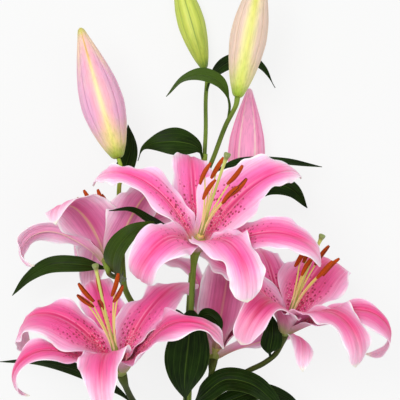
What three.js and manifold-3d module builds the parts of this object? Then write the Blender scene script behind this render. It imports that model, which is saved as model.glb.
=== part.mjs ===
// A cut Oriental lily that lies on a surface: one stem with five open blooms, four buds and its leaves.
// Millimetres and degrees, +Z up. The surface is z = 0, the buds point to +Y and the cut end to -Y.
import * as THREE from 'three';
import { mergeVertices } from 'three/addons/utils/BufferGeometryUtils.js';
import Module from 'manifold-3d';

const wasm = await Module();
wasm.setup();

const { Vector3 } = THREE;

// The origin lies under the middle of the object's box. The places below are drawn from another
// point, beside the front bloom, and this is where that point lies seen from the middle.
const DRAWING_ORIGIN = [7, 67, 0];

// Clearance between a piece and what carries it, and the box that is cut off under the floor.
const SEAT_GAP = 0.3;
const FLOOR_BLOCK = [800, 800, 100];

// A blade that would reach under the floor settles at this height, over this much of its fall.
const FLOOR_CONTACT = 0.15;
const FLOOR_SOFTNESS = 2;

// Blades stop just short of a point, so that their tips keep some width.
const TIP_SHARE = 0.985;

// Tepals: thickness, where they leave the axis, and the shape that each whorl shares.
const TEPAL_EDGE = 0.8;
const TEPAL_RIB = 0.9;
const TEPAL_ROWS = 8;
const TEPAL_COLUMNS = 4;
const MIDRIB_STEPS = 40;
const OUTER = { radius: 5.4, claw: 0.28, taper: 1.1, ruffle: 1.6, waves: 2.5, setBack: 3.5 };
const INNER = { radius: 3.2, claw: 0.22, taper: 0.9, ruffle: 2.8, waves: 3, setBack: 0 };
const CLAW_HEIGHT = 3;
const CUP_AT_BASE = 0.42;
const CUP_AT_TIP = -0.12;
const GROOVE = 1.3;
const GROOVE_WIDTH = 0.25;
const RUFFLE_LAG = 1.6;

// Receptacle, stamens and pistil, measured along the bloom's axis from its base.
const RECEPTACLE = { height: 16, foot: 4.2, belly: 6.2, mouth: 3.6 };
const THROAT = { height: 5, radius: 3, ring: 1.2 };
const FILAMENT = { length: 68, root: 1.1, end: 0.7, spread: 16 };
const ANTHER = { length: 22, radius: 1.9, lean: 16 };
const PISTIL = {
  length: 92, ovary: 2.8, style: 1.3, stigma: 3.4, sway: 7, ovaryShare: 0.2, stigmaShare: 0.95,
  rings: [0, 0.16, 0.22, 0.4, 0.6, 0.8, 0.95, 0.97, 1],
};

// Open blooms: place of the base, direction of the axis and the six tepals. A tepal's bearing
// turns round the axis from the side nearest +X. Its midrib leaves the axis at the angle rise, is at
// spread halfway along, ends at tip, and drifts sideways by bend. Where the stamens are shorter than
// FILAMENT and PISTIL say, reach is their share of it.
const BLOOMS = {
  front: {
    base: [-3, -41, 125],
    axis: [0.2, 0.67, 0.71],
    tepals: [
      { whorl: INNER, bearing: 154, rise: 34, spread: 75, tip: 181, bend: 4, length: 131, width: 31 },
      { whorl: OUTER, bearing: 102, rise: 27, spread: 92, tip: 152, bend: -30, length: 121, width: 38 },
      { whorl: INNER, bearing: 41, rise: 29, spread: 57, tip: 148, bend: -5, length: 126, width: 50 },
      { whorl: OUTER, bearing: 344, rise: 34, spread: 69, tip: 172, bend: 22, length: 126, width: 36 },
      { whorl: INNER, bearing: 297, rise: 23, spread: 63, tip: 186, bend: 6, length: 118, width: 43 },
      { whorl: OUTER, bearing: 224, rise: 24, spread: 82, tip: 245, bend: -4, length: 125, width: 38 },
    ],
  },
  lower_left: {
    base: [-65, -144, 116],
    axis: [-0.2, 0.84, 0.5],
    tepals: [
      { whorl: INNER, bearing: 153, rise: 24, spread: 66, tip: 211, bend: 10, length: 126, width: 42 },
      { whorl: OUTER, bearing: 100, rise: 25, spread: 71, tip: 133, bend: 11, length: 116, width: 36 },
      { whorl: INNER, bearing: 43, rise: 25, spread: 74, tip: 129, bend: 28, length: 116, width: 46 },
      { whorl: OUTER, bearing: 345, rise: 35, spread: 69, tip: 193, bend: 13, length: 126, width: 38 },
      { whorl: INNER, bearing: 270, rise: 22, spread: 65, tip: 176, bend: -10, length: 120, width: 44 },
      { whorl: OUTER, bearing: 204, rise: 40, spread: 72, tip: 243, bend: -13, length: 135, width: 30 },
    ],
  },
  lower_right: {
    base: [71, -113, 87],
    axis: [0.25, 0.84, 0.47],
    tepals: [
      { whorl: OUTER, bearing: 114, rise: 28, spread: 84, tip: 128, bend: -24, length: 117, width: 36 },
      { whorl: INNER, bearing: 171, rise: 27, spread: 63, tip: 86, bend: -1, length: 113, width: 46 },
      { whorl: OUTER, bearing: 232, rise: 24, spread: 68, tip: 212, bend: 7, length: 124, width: 34 },
      { whorl: INNER, bearing: 64, rise: 23, spread: 73, tip: 160, bend: -8, length: 118, width: 54 },
      { whorl: OUTER, bearing: 354, rise: 31, spread: 72, tip: 236, bend: 2, length: 138, width: 30 },
      { whorl: INNER, bearing: 304, rise: 28, spread: 66, tip: 201, bend: 9, length: 120, width: 44 },
    ],
  },
  back_left: {
    base: [-78, -54, 88],
    axis: [-0.06, 0.76, -0.65],
    reach: 0.72,
    tepals: [
      { whorl: INNER, bearing: 247, rise: 25, spread: 95, tip: 183, bend: -8, length: 118, width: 46 },
      { whorl: OUTER, bearing: 180, rise: 25, spread: 88, tip: 255, bend: -16, length: 123, width: 32 },
      { whorl: OUTER, bearing: 313, rise: 27, spread: 83, tip: 159, bend: -23, length: 108, width: 34 },
      { whorl: INNER, bearing: -6, rise: 19, spread: 58, tip: 125, bend: 13, length: 112, width: 42 },
      { whorl: OUTER, bearing: 112, rise: 27, spread: 39, tip: 133, bend: 20, length: 111, width: 32 },
      { whorl: INNER, bearing: 124, rise: 21, spread: 71, tip: 255, bend: -20, length: 120, width: 42 },
    ],
  },
  back_centre: {
    base: [11, -137, 70],
    axis: [0.1, 0.88, -0.46],
    reach: 0.66,
    tepals: [
      { whorl: INNER, bearing: 281, rise: 20, spread: 70, tip: 191, bend: -35, length: 116, width: 44 },
      { whorl: OUTER, bearing: 198, rise: 23, spread: 51, tip: 183, bend: 14, length: 125, width: 30 },
      { whorl: INNER, bearing: 85, rise: 22, spread: 38, tip: 268, bend: 14, length: 115, width: 40 },
      { whorl: OUTER, bearing: 54, rise: 14, spread: 46, tip: 135, bend: -17, length: 108, width: 32 },
      { whorl: INNER, bearing: 36, rise: 21, spread: 35, tip: 116, bend: 0, length: 116, width: 42 },
      { whorl: OUTER, bearing: 353, rise: 37, spread: 85, tip: 197, bend: -16, length: 124, width: 32 },
    ],
  },
};

// Buds: where the base and the tip are, the greatest radius and how far up that is.
const BUDS = {
  pink_left: { base: [-70, 36, 70], tip: [-103, 148, 62], radius: 18.5, widest: 0.36 },
  green: { base: [4, 117, 13], tip: [-22, 207, 9], radius: 12, widest: 0.45 },
  pale_right: { base: [32, 88, 74], tip: [53, 201, 68], radius: 15.7, widest: 0.45 },
  pink_back: { base: [39, -3, 17], tip: [44, 99, 11], radius: 16.4, widest: 0.42 },
};
const BUD = { lobes: 3, depth: 0.06, neck: 0.16, fullness: 0.8, tip: 0.13, tipShare: 0.96 };

// The main stem from its cut end up, and the stalks that leave it. A stalk's first point is moved
// on to the stalk that it grows from.
const STEM = {
  path: [
    [-18, -340, 3.4], [-17, -264, 26], [-14, -209, 41], [-11, -173, 47], [-10, -129, 44],
    [-9, -95, 40], [-5, -48, 40], [1, 0, 44], [4, 40, 49],
  ],
  foot: 4.6,
  top: 2.6,
};
const SHOOT = {
  path: [
    [-8, -126, 57], [-24, -113, 46], [-42, -92, 38], [-57, -74, 36],
    [-64, -61, 42], [-68, -35, 46], [-70, 4, 58],
  ],
  foot: 3,
  top: 2,
  bud: 'pink_left',
};
const STALKS = [
  {
    bloom: 'front',
    from: 'stem',
    path: [[-11, -166, 47], [-9, -140, 74], [-8, -110, 94], [-7, -80, 106]],
    radius: 2.4,
  },
  { bloom: 'back_left', from: 'shoot', path: [[-60, -68, 39], [-68, -68, 58], [-76, -64, 76]], radius: 2.2 },
  {
    bloom: 'lower_left',
    from: 'stem',
    path: [[-14, -225, 40], [-35, -199, 56], [-56, -172, 80]],
    radius: 2.6,
  },
  {
    bloom: 'lower_right',
    from: 'stem',
    path: [[-12, -198, 47], [13, -177, 60], [38, -160, 70], [59, -145, 78], [69, -130, 81]],
    radius: 2.5,
  },
  { bloom: 'back_centre', from: 'stem', path: [[-12, -209, 44], [3, -186, 52], [9, -160, 66]], radius: 2.6 },
  { bud: 'green', from: 'stem', path: [[4, 37, 48], [5, 60, 43], [5, 88, 25]], radius: 1.8 },
  { bud: 'pale_right', from: 'stem', path: [[3, 16, 49], [11, 35, 56], [22, 64, 68]], radius: 2 },
  { bud: 'pink_back', from: 'stem', path: [[-2, -32, 41], [14, -26, 32], [33, -15, 21]], radius: 2 },
];

// The straight end of a stalk under its bloom or bud, how much wider a bud's stalk gets there, and
// where that starts.
const STALK_LEAD = 7;
const STALK_FLARE = 0.4;
const FLARE_START = 0.86;

// Leaves: the stalk that carries each, its midrib, full width, the way its upper face looks, how far
// its halves fold up, how much of it is a thin stalk, and the waves of its edge.
const LEAF = {
  edge: 0.8, rib: 0.7, root: 1.1, rows: 8, columns: 2, taper: 0.85, opening: 0.3,
  wave: 1.2, waves: 1.5, waveLag: 2,
};
const LEAVES = {
  leaf_upper_left: {
    on: 'stem',
    path: [[4, 32, 48], [-2, 45, 56], [-19, 50, 63], [-38, 49, 62], [-49, 45, 56], [-54, 34, 46]],
    width: 24, face: [0, 0.3, 0.95], fold: 0.12, stalk: 0.05,
  },
  leaf_on_pale_bud: {
    on: 'pale_right',
    path: [[25, 68, 70], [25, 82, 76], [18, 99, 82], [3, 106, 82], [-14, 103, 74], [-29, 89, 62]],
    width: 14, face: [0, 0.75, 0.65], fold: 0.15, stalk: 0.22,
  },
  leaf_on_green_bud: {
    on: 'green',
    path: [[5, 94, 21], [10, 107, 24], [23, 120, 23], [41, 125, 19], [56, 117, 13], [67, 100, 6]],
    width: 14, face: [0, 0.6, 0.8], fold: 0.15, stalk: 0.2,
  },
  leaf_right_thin: {
    on: 'stem',
    path: [[3, 14, 48], [16, 26, 44], [44, 34, 42], [75, 33, 40], [107, 29, 32]],
    width: 12, face: [0, 0.9, 0.4], fold: 0.15, stalk: 0.05,
  },
  leaf_right_down: {
    on: 'stem',
    path: [[3, 0, 50], [31, 5, 48], [61, 14, 46], [80, 9, 42], [94, -7, 34]],
    width: 22, face: [-0.2, 0.2, 0.95], fold: 0.12, stalk: 0.05,
  },
  leaf_behind_pink_bud: {
    on: 'shoot',
    path: [[-70, 9, 60], [-66, 26, 44], [-61, 45, 36], [-63, 66, 36]],
    width: 16, face: [0, 0, 1], fold: 0.12, stalk: 0.05,
  },
  leaf_left_long: {
    on: 'shoot',
    path: [
      [-66, -65, 38], [-82, -60, 42], [-104, -56, 48], [-130, -57, 46], [-150, -68, 38], [-165, -84, 28],
    ],
    width: 16, face: [0, 0.5, 0.85], fold: 0.15, stalk: 0.05,
  },
  leaf_left_raised: {
    on: 'shoot',
    path: [
      [-64, -61, 42], [-57, -58, 72], [-59, -47, 104], [-62, -34, 119], [-54, -23, 124], [-38, -18, 118],
    ],
    width: 20, face: [-0.5, 0.1, 0.85], fold: 0.12, stalk: 0.05,
  },
  leaf_behind_front_bloom: {
    on: 'stem',
    path: [[-2, -35, 54], [-21, -29, 84], [-42, -17, 106], [-57, -8, 110], [-76, -9, 105]],
    width: 12, face: [0, 0.7, 0.7], fold: 0.12, stalk: 0.05,
  },
  leaf_lower_broad: {
    on: 'stem',
    path: [[-10, -179, 46], [-11, -170, 66], [-9, -150, 87], [-8, -118, 103], [-7, -92, 109]],
    width: 36, face: [0, -0.3, 0.95], fold: 0.12, stalk: 0.08,
  },
  leaf_lower_right: {
    on: 'stem',
    path: [[-7, -181, 47], [4, -165, 62], [24, -151, 72], [44, -157, 72], [62, -172, 64], [76, -190, 48]],
    width: 24, face: [0, 0.5, 0.85], fold: 0.15, stalk: 0.05,
  },
  leaf_lower_right_under: {
    on: 'stem',
    path: [[-9, -191, 50], [22, -175, 52], [50, -166, 52], [74, -172, 46], [92, -186, 34]],
    width: 18, face: [0, 0.5, 0.85], fold: 0.12, stalk: 0.05,
  },
  leaf_on_right_stalk: {
    on: 'lower_right',
    path: [[53, -150, 77], [54, -141, 86], [57, -128, 88], [62, -113, 80]],
    width: 15, face: [0, 0, 1], fold: 0.15, stalk: 0.15,
  },
  leaf_far_left_thin: {
    on: 'lower_left',
    path: [[-44, -188, 68], [-70, -166, 56], [-105, -149, 44], [-141, -142, 34], [-177, -143, 20]],
    width: 14, face: [0, 0.8, 0.6], fold: 0.12, stalk: 0.05,
  },
  leaf_mid_left: {
    on: 'front',
    path: [[-8, -118, 88], [-14, -107, 92], [-22, -98, 94], [-36, -94, 86]],
    width: 14, face: [0, 0.5, 0.85], fold: 0.12, stalk: 0.05,
  },
  leaf_mid_right: {
    on: 'front',
    path: [[-8, -102, 97], [2, -98, 99], [11, -96, 104], [18, -101, 106], [23, -111, 100]],
    width: 12, face: [0, 0.4, 0.9], fold: 0.12, stalk: 0.05,
  },
  leaf_foot_left: {
    on: 'stem',
    path: [[-17, -268, 27], [-35, -254, 36], [-63, -263, 34], [-92, -292, 18], [-107, -321, 5]],
    width: 22, face: [0, 0.2, 1], fold: 0.15, stalk: 0.05,
  },
  leaf_foot_right: {
    on: 'stem',
    path: [[-16, -245, 33], [9, -235, 44], [39, -248, 42], [66, -283, 22], [80, -316, 7]],
    width: 24, face: [0, 0.2, 1], fold: 0.15, stalk: 0.05,
  },
  leaf_foot_low: {
    on: 'stem',
    path: [[-18, -301, 16], [0, -282, 26], [28, -291, 24], [52, -320, 8]],
    width: 18, face: [0, 0.2, 1], fold: 0.15, stalk: 0.05,
  },
  leaf_foot_upper_left: {
    on: 'stem',
    path: [[-15, -232, 38], [-44, -218, 42], [-79, -220, 36], [-113, -244, 16]],
    width: 20, face: [0, 0.2, 1], fold: 0.15, stalk: 0.05,
  },
};

// Colours.
const COLOURS = {
  tepal: { color: 0xe85fa2, roughness: 0.6 },
  stamens: { color: 0xb9481c, roughness: 0.8 },
  pinkBud: { color: 0xe9a3c4, roughness: 0.6 },
  greenBud: { color: 0xb4cf52, roughness: 0.6 },
  paleBud: { color: 0xe8dca8, roughness: 0.6 },
  stem: { color: 0x6a8c42, roughness: 0.6 },
  leaf: { color: 0x2f5420, roughness: 0.55 },
};

const radians = THREE.MathUtils.degToRad;

function vector(values) {
  return new Vector3(...values);
}

function offset(from, direction, distance) {
  return from.clone().addScaledVector(direction, distance);
}

// A closed mesh as a solid: shared vertices are merged and faces without area dropped.
function solid(geometry) {
  const bare = geometry.index ? geometry.toNonIndexed() : geometry;
  const points = new THREE.BufferGeometry().setAttribute('position', bare.getAttribute('position'));
  const merged = mergeVertices(points, 1e-4);
  const corners = merged.index.array;
  const kept = [];
  for (let i = 0; i < corners.length; i += 3) {
    const [a, b, c] = [corners[i], corners[i + 1], corners[i + 2]];
    if (a !== b && b !== c && c !== a) kept.push(a, b, c);
  }
  const make = (triangles) => new wasm.Manifold(new wasm.Mesh({
    numProp: 3,
    vertProperties: new Float32Array(merged.getAttribute('position').array),
    triVerts: new Uint32Array(triangles),
  }));
  const made = make(kept);
  return made.volume() > 0 ? made : make(kept.reverse());
}

function largest(body) {
  return body.decompose().reduce((a, b) => (a.volume() > b.volume() ? a : b));
}

// The half space under the floor, as a block that is cut off every piece.
function underFloor() {
  const block = new THREE.BoxGeometry(...FLOOR_BLOCK);
  return solid(block.translate(0, 0, -FLOOR_BLOCK[2] / 2));
}
const UNDER_FLOOR = underFloor();

function restOnFloor(body) {
  return largest(body.subtract(UNDER_FLOOR));
}

// Unit directions at a point of a curve: along it, and two across it, the second nearest to up.
function curveFrame(curve, s, up) {
  const along = curve.getTangentAt(s);
  const side = new Vector3().crossVectors(along, up).normalize();
  const top = new Vector3().crossVectors(side, along);
  return { at: curve.getPointAt(s), along, side, top };
}

function crossHint(curve) {
  const chord = curve.getPoint(1).sub(curve.getPoint(0)).normalize();
  return Math.abs(chord.z) < 0.8 ? new Vector3(0, 0, 1) : new Vector3(1, 0, 0);
}

function evenly(rows) {
  return Array.from({ length: rows + 1 }, (_, i) => i / rows);
}

// A round or lobed body along a curve. radiusAt gives the radius for s from 0 to 1 and stations
// are the places of its rings.
function roundBody(curve, radiusAt, { sides = 6, stations = evenly(8), lobes = 0, depth = 0 } = {}) {
  const rings = stations.map((s) => new THREE.Vector2(1, s));
  const profile = [new THREE.Vector2(0, 0), ...rings, new THREE.Vector2(0, 1)];
  const geometry = new THREE.LatheGeometry(profile, sides);
  const position = geometry.getAttribute('position');
  const up = crossHint(curve);
  for (let i = 0; i < position.count; i++) {
    const [x, s, z] = [position.getX(i), position.getY(i), position.getZ(i)];
    const { at, side, top } = curveFrame(curve, s, up);
    const radius = radiusAt(s) * (1 + depth * Math.cos(lobes * Math.atan2(x, z)));
    at.addScaledVector(side, x * radius).addScaledVector(top, z * radius);
    position.setXYZ(i, at.x, at.y, at.z);
  }
  return solid(geometry);
}

// A thin blade. surface(t, x) is a point of its middle sheet for t from 0 to 1 along it and x from
// -1 to 1 across it. Both faces are split into the same triangles.
function blade(surface, thicknessAt, rows, columns) {
  const grid = [];
  for (let i = 0; i <= rows; i++) {
    grid.push([]);
    for (let j = 0; j <= columns; j++) grid[i].push(surface(i / rows, (2 * j) / columns - 1));
  }
  const faces = [1, -1].map((face) => grid.map((row, i) => row.map((point, j) => {
    const along = grid[Math.min(i + 1, rows)][j].clone().sub(grid[Math.max(i - 1, 0)][j]);
    const across = row[Math.min(j + 1, columns)].clone().sub(row[Math.max(j - 1, 0)]);
    const normal = along.cross(across).normalize();
    return offset(point, normal, (face * thicknessAt(i / rows, (2 * j) / columns - 1)) / 2);
  })));
  const [upper, lower] = faces;
  const corners = [];
  const quad = (a, b, c, d) => corners.push(a, b, c, a, c, d);
  for (let i = 0; i < rows; i++) {
    for (let j = 0; j < columns; j++) {
      quad(upper[i][j], upper[i + 1][j], upper[i + 1][j + 1], upper[i][j + 1]);
      corners.push(lower[i][j], lower[i + 1][j + 1], lower[i + 1][j]);
      corners.push(lower[i][j], lower[i][j + 1], lower[i + 1][j + 1]);
    }
    quad(upper[i][0], lower[i][0], lower[i + 1][0], upper[i + 1][0]);
    quad(lower[i][columns], upper[i][columns], upper[i + 1][columns], lower[i + 1][columns]);
  }
  for (let j = 0; j < columns; j++) {
    quad(lower[0][j], upper[0][j], upper[0][j + 1], lower[0][j + 1]);
    quad(upper[rows][j], lower[rows][j], lower[rows][j + 1], upper[rows][j + 1]);
  }
  return solid(new THREE.BufferGeometry().setFromPoints(corners));
}

// Where a blade would pass under the floor it lies on it instead.
function pressed(point) {
  const above = point.z - FLOOR_CONTACT;
  return point.setZ(FLOOR_CONTACT + (above + Math.hypot(above, FLOOR_SOFTNESS)) / 2);
}

// A bloom's base and its directions: forward along the axis, right, and back.
function bloomFrame({ base, axis }) {
  const forward = vector(axis).normalize();
  const right = new Vector3(1, 0, 0).addScaledVector(forward, -forward.x).normalize();
  return { base: vector(base), forward, right, back: new Vector3().crossVectors(forward, right) };
}

function outwardAt(frame, bearing) {
  const angle = radians(bearing);
  return frame.right.clone().multiplyScalar(Math.cos(angle)).addScaledVector(frame.back, Math.sin(angle));
}

// A tepal's midrib as places with their directions: along it, to its inner face and across it.
function tepalMidrib(frame, { whorl, bearing, rise, spread, tip, bend, length }) {
  const slope = -3 * rise + 4 * spread - tip;
  const curl = 2 * rise - 4 * spread + 2 * tip;
  const directions = (t) => {
    const lean = radians(rise + slope * t + curl * t * t);
    const outward = outwardAt(frame, bearing + bend * t * t);
    const along = offset(frame.forward.clone().multiplyScalar(Math.cos(lean)), outward, Math.sin(lean));
    const inner = offset(frame.forward.clone().multiplyScalar(Math.sin(lean)), outward, -Math.cos(lean));
    return { along, inner, across: new Vector3().crossVectors(along, inner) };
  };
  const places = [];
  let at = offset(offset(frame.base, frame.forward, CLAW_HEIGHT), outwardAt(frame, bearing), whorl.radius);
  for (let i = 0; i <= MIDRIB_STEPS; i++) {
    places.push({ at, ...directions(i / MIDRIB_STEPS) });
    at = offset(at, directions((i + 0.5) / MIDRIB_STEPS).along, length / MIDRIB_STEPS);
  }
  return places;
}

// Half width as a share of the greatest: a narrow claw, widest halfway, and a point.
function tepalOutline(t, { claw, taper }) {
  const body = (1 - claw) * Math.sin(Math.PI * Math.min(t, TIP_SHARE)) ** taper;
  return (body + claw * (1 - t) ** 1.5) / (1 - claw + claw * 0.5 ** 1.5);
}

function tepalBody(frame, tepal) {
  const { whorl, width, bearing } = tepal;
  const places = tepalMidrib(frame, tepal);
  const surface = (t, x) => {
    const { at, inner, across } = places[Math.round(t * MIDRIB_STEPS)];
    const half = (width / 2) * tepalOutline(t, whorl);
    const cup = (CUP_AT_BASE * (1 - t) ** 3 + CUP_AT_TIP * t) * half * x * x;
    const wave = Math.sin(2 * Math.PI * whorl.waves * t + radians(bearing) + (x > 0 ? RUFFLE_LAG : 0));
    const ruffle = whorl.ruffle * wave * Math.abs(x) ** 2.5 * Math.sin(Math.PI * t);
    const groove = -GROOVE * Math.exp(-((x / GROOVE_WIDTH) ** 2)) * Math.sin(Math.PI * t) ** 0.5;
    const setBack = whorl.setBack * Math.sin(Math.PI * Math.min(1, 1.6 * t)) ** 2;
    return pressed(offset(offset(at, across, half * x), inner, cup + ruffle + groove - setBack));
  };
  const thickness = (t, x) => TEPAL_EDGE + TEPAL_RIB * (1 - Math.abs(x)) * (1 - t);
  return blade(surface, thickness, TEPAL_ROWS, TEPAL_COLUMNS);
}

function receptacleBody(frame) {
  const { height, foot, belly, mouth } = RECEPTACLE;
  const line = new THREE.LineCurve3(frame.base, offset(frame.base, frame.forward, height));
  const radius = (s) => (s < 0.5 ? foot + (belly - foot) * 2 * s : belly + (mouth - belly) * (2 * s - 1));
  return roundBody(line, radius, { sides: 8, stations: [0, 0.5, 1] });
}

function bloomTepals(bloom) {
  const frame = bloomFrame(bloom);
  return bloom.tepals.reduce((body, tepal) => body.add(tepalBody(frame, tepal)), receptacleBody(frame));
}

// One stamen: a filament that leans out of the throat, and the anther that it carries by its middle.
function stamenBody(frame, foot, bearing, reach) {
  const outward = outwardAt(frame, bearing);
  const place = (share) => offset(
    offset(foot, frame.forward, FILAMENT.length * reach * share),
    outward,
    THROAT.ring + FILAMENT.spread * reach * share ** 1.7,
  );
  const filament = new THREE.CatmullRomCurve3([0, 0.35, 0.7, 1].map(place));
  const thread = roundBody(
    filament,
    (s) => FILAMENT.root + (FILAMENT.end - FILAMENT.root) * s,
    { sides: 4, stations: evenly(3) },
  );
  const lean = radians(ANTHER.lean);
  const along = filament.getTangentAt(1).multiplyScalar(Math.cos(lean));
  along.addScaledVector(outward, Math.sin(lean));
  const end = filament.getPointAt(1);
  const line = new THREE.LineCurve3(
    offset(end, along, -ANTHER.length / 2),
    offset(end, along, ANTHER.length / 2),
  );
  const swell = (s) => ANTHER.radius * Math.sin(Math.PI * (0.14 + 0.72 * s)) ** 0.6;
  return thread.add(roundBody(line, swell, { sides: 4, stations: evenly(3) }));
}

function pistilBody(frame, foot, reach) {
  const place = (share) => offset(
    offset(foot, frame.forward, PISTIL.length * reach * share),
    frame.back,
    PISTIL.sway * share * share,
  );
  const axis = new THREE.CatmullRomCurve3([0, 0.3, 0.65, 1].map(place));
  const radius = (s) => {
    if (s > PISTIL.stigmaShare) return PISTIL.stigma;
    return s < PISTIL.ovaryShare ? PISTIL.ovary : PISTIL.style;
  };
  return roundBody(axis, radius, { sides: 6, stations: PISTIL.rings });
}

function bloomStamens(bloom) {
  const frame = bloomFrame(bloom);
  const foot = offset(frame.base, frame.forward, RECEPTACLE.height + SEAT_GAP);
  const top = offset(foot, frame.forward, THROAT.height);
  const line = new THREE.LineCurve3(foot, top);
  const throat = roundBody(line, () => THROAT.radius, { sides: 6, stations: [0, 1] });
  const start = offset(foot, frame.forward, THROAT.height / 2);
  const { tepals, reach = 1 } = bloom;
  const stamens = tepals.map(({ bearing }) => stamenBody(frame, start, bearing, reach));
  return stamens.reduce((all, body) => all.add(body), throat.add(pistilBody(frame, start, reach)));
}

function budBody({ base, tip, radius, widest }) {
  const line = new THREE.LineCurve3(vector(base), vector(tip));
  const power = Math.log(0.5) / Math.log(widest);
  const swell = (s) => BUD.neck + (1 - BUD.neck) * Math.sin(Math.PI * s ** power) ** BUD.fullness;
  const profile = (s) => radius * (s > BUD.tipShare ? BUD.tip : swell(s));
  return roundBody(line, profile, { sides: 12, stations: evenly(8), lobes: BUD.lobes, depth: BUD.depth });
}

function curveThrough(points) {
  return new THREE.CatmullRomCurve3(points, false, 'centripetal');
}

// The place on a curve that is nearest to a point.
function nearestOn(curve, point) {
  const places = curve.getSpacedPoints(200);
  return places.reduce((a, b) => (a.distanceTo(point) < b.distanceTo(point) ? a : b));
}

// The last two points of a stalk, so that it meets its bloom or bud squarely and just clear of it.
function seatUnder(base, axis) {
  return [offset(base, axis, -STALK_LEAD), offset(base, axis, -SEAT_GAP)];
}

function budAxis({ base, tip }) {
  return vector(tip).sub(vector(base)).normalize();
}

// Centre lines of the stem and of every stalk, by name, with the radius at each end.
function stalkLines() {
  const stem = { curve: curveThrough(STEM.path.map(vector)), foot: STEM.foot, end: STEM.top };
  const lines = { stem };
  const shootBud = BUDS[SHOOT.bud];
  const shootPoints = SHOOT.path.map(vector);
  shootPoints[0] = nearestOn(stem.curve, shootPoints[0]);
  const seat = seatUnder(vector(shootBud.base), budAxis(shootBud));
  lines.shoot = { curve: curveThrough([...shootPoints, ...seat]), foot: SHOOT.foot, end: SHOOT.top };
  for (const { bloom, bud, from, path, radius } of STALKS) {
    const points = path.map(vector);
    points[0] = nearestOn(lines[from].curve, points[0]);
    const ends = bloom
      ? seatUnder(vector(BLOOMS[bloom].base), vector(BLOOMS[bloom].axis).normalize())
      : seatUnder(vector(BUDS[bud].base), budAxis(BUDS[bud]));
    const flare = bloom ? RECEPTACLE.foot : radius + STALK_FLARE;
    const curve = curveThrough([...points, ...ends]);
    lines[bloom ?? bud] = { curve, foot: radius, neck: radius, end: flare };
  }
  return lines;
}
const LINES = stalkLines();

// A stalk's radius: from foot to neck evenly, then out to its end.
function stalkRadius({ foot, neck, end }, s) {
  if (neck === undefined) return foot + (end - foot) * s;
  const flare = THREE.MathUtils.smoothstep(s, FLARE_START, 1);
  return foot + (neck - foot) * s + (end - neck) * flare;
}

function stemBody(extra) {
  const bodies = Object.entries(LINES).map(([name, line]) => roundBody(
    line.curve,
    (s) => stalkRadius(line, s) + extra,
    name === 'stem' ? { sides: 8, stations: evenly(16) } : { sides: 6, stations: evenly(8) },
  ));
  return bodies.reduce((all, body) => all.add(body));
}
const STEM_CLEARANCE = stemBody(SEAT_GAP);

function leafOutline(t, stalk) {
  const start = THREE.MathUtils.smoothstep(t, stalk, stalk + LEAF.opening);
  const past = Math.max(0, (t - stalk) / (1 - stalk));
  return start * Math.sin(Math.PI * Math.min(past ** 0.8, TIP_SHARE)) ** LEAF.taper;
}

function leafBody({ on, path, width, face, fold, stalk }) {
  const points = path.map(vector);
  points[0] = nearestOn(LINES[on].curve, points[0]);
  const midrib = curveThrough(points);
  const surface = (t, x) => {
    const { at, side, top } = curveFrame(midrib, t, vector(face));
    const half = Math.max(LEAF.root, (width / 2) * leafOutline(t, stalk));
    const wave = LEAF.wave * Math.sin(2 * Math.PI * LEAF.waves * t + (x > 0 ? LEAF.waveLag : 0));
    const lift = fold * half * Math.abs(x) + wave * x * x * Math.sin(Math.PI * t) ** 2;
    return pressed(offset(offset(at, side, half * x), top, lift));
  };
  const thickness = (t, x) => LEAF.edge + LEAF.rib * (1 - Math.abs(x)) * (1 - t);
  return blade(surface, thickness, LEAF.rows, LEAF.columns).subtract(STEM_CLEARANCE);
}

function mesh(name, body, look) {
  const { vertProperties, triVerts } = body.getMesh();
  const geometry = new THREE.BufferGeometry();
  geometry.setAttribute('position', new THREE.BufferAttribute(new Float32Array(vertProperties), 3));
  geometry.setIndex(new THREE.BufferAttribute(new Uint32Array(triVerts), 1));
  geometry.computeVertexNormals();
  const part = new THREE.Mesh(geometry, new THREE.MeshStandardMaterial({ metalness: 0, ...look }));
  part.name = name;
  return part;
}

function lily() {
  const group = new THREE.Group();
  const add = (name, body, look) => group.add(mesh(name, restOnFloor(body), look));
  add('stem', stemBody(0), COLOURS.stem);
  for (const [name, bloom] of Object.entries(BLOOMS)) {
    add(`bloom_${name}_tepals`, bloomTepals(bloom), COLOURS.tepal);
    add(`bloom_${name}_stamens`, bloomStamens(bloom), COLOURS.stamens);
  }
  for (const [name, bud] of Object.entries(BUDS)) {
    const looks = { green: COLOURS.greenBud, pale_right: COLOURS.paleBud };
    add(`bud_${name}`, budBody(bud), looks[name] ?? COLOURS.pinkBud);
  }
  for (const [name, leaf] of Object.entries(LEAVES)) add(name, leafBody(leaf), COLOURS.leaf);
  group.position.set(...DRAWING_ORIGIN);
  return group;
}

export default lily();
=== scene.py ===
"""A cut pink lily that lies on a pale table: the fine form and the finish of every piece.

Plans are in millimetres and degrees, drawn from a point beside the front bloom. Finished meshes are in
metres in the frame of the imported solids, whose places and shapes they keep.
"""

import logging
import random
from bisect import bisect_right
from dataclasses import dataclass
from enum import Enum
from math import copysign, cos, degrees, exp, hypot, pi, radians, sin, sqrt, tau
from typing import Callable, Optional, Sequence, Union

import bpy
from mathutils import Matrix, Vector


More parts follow.
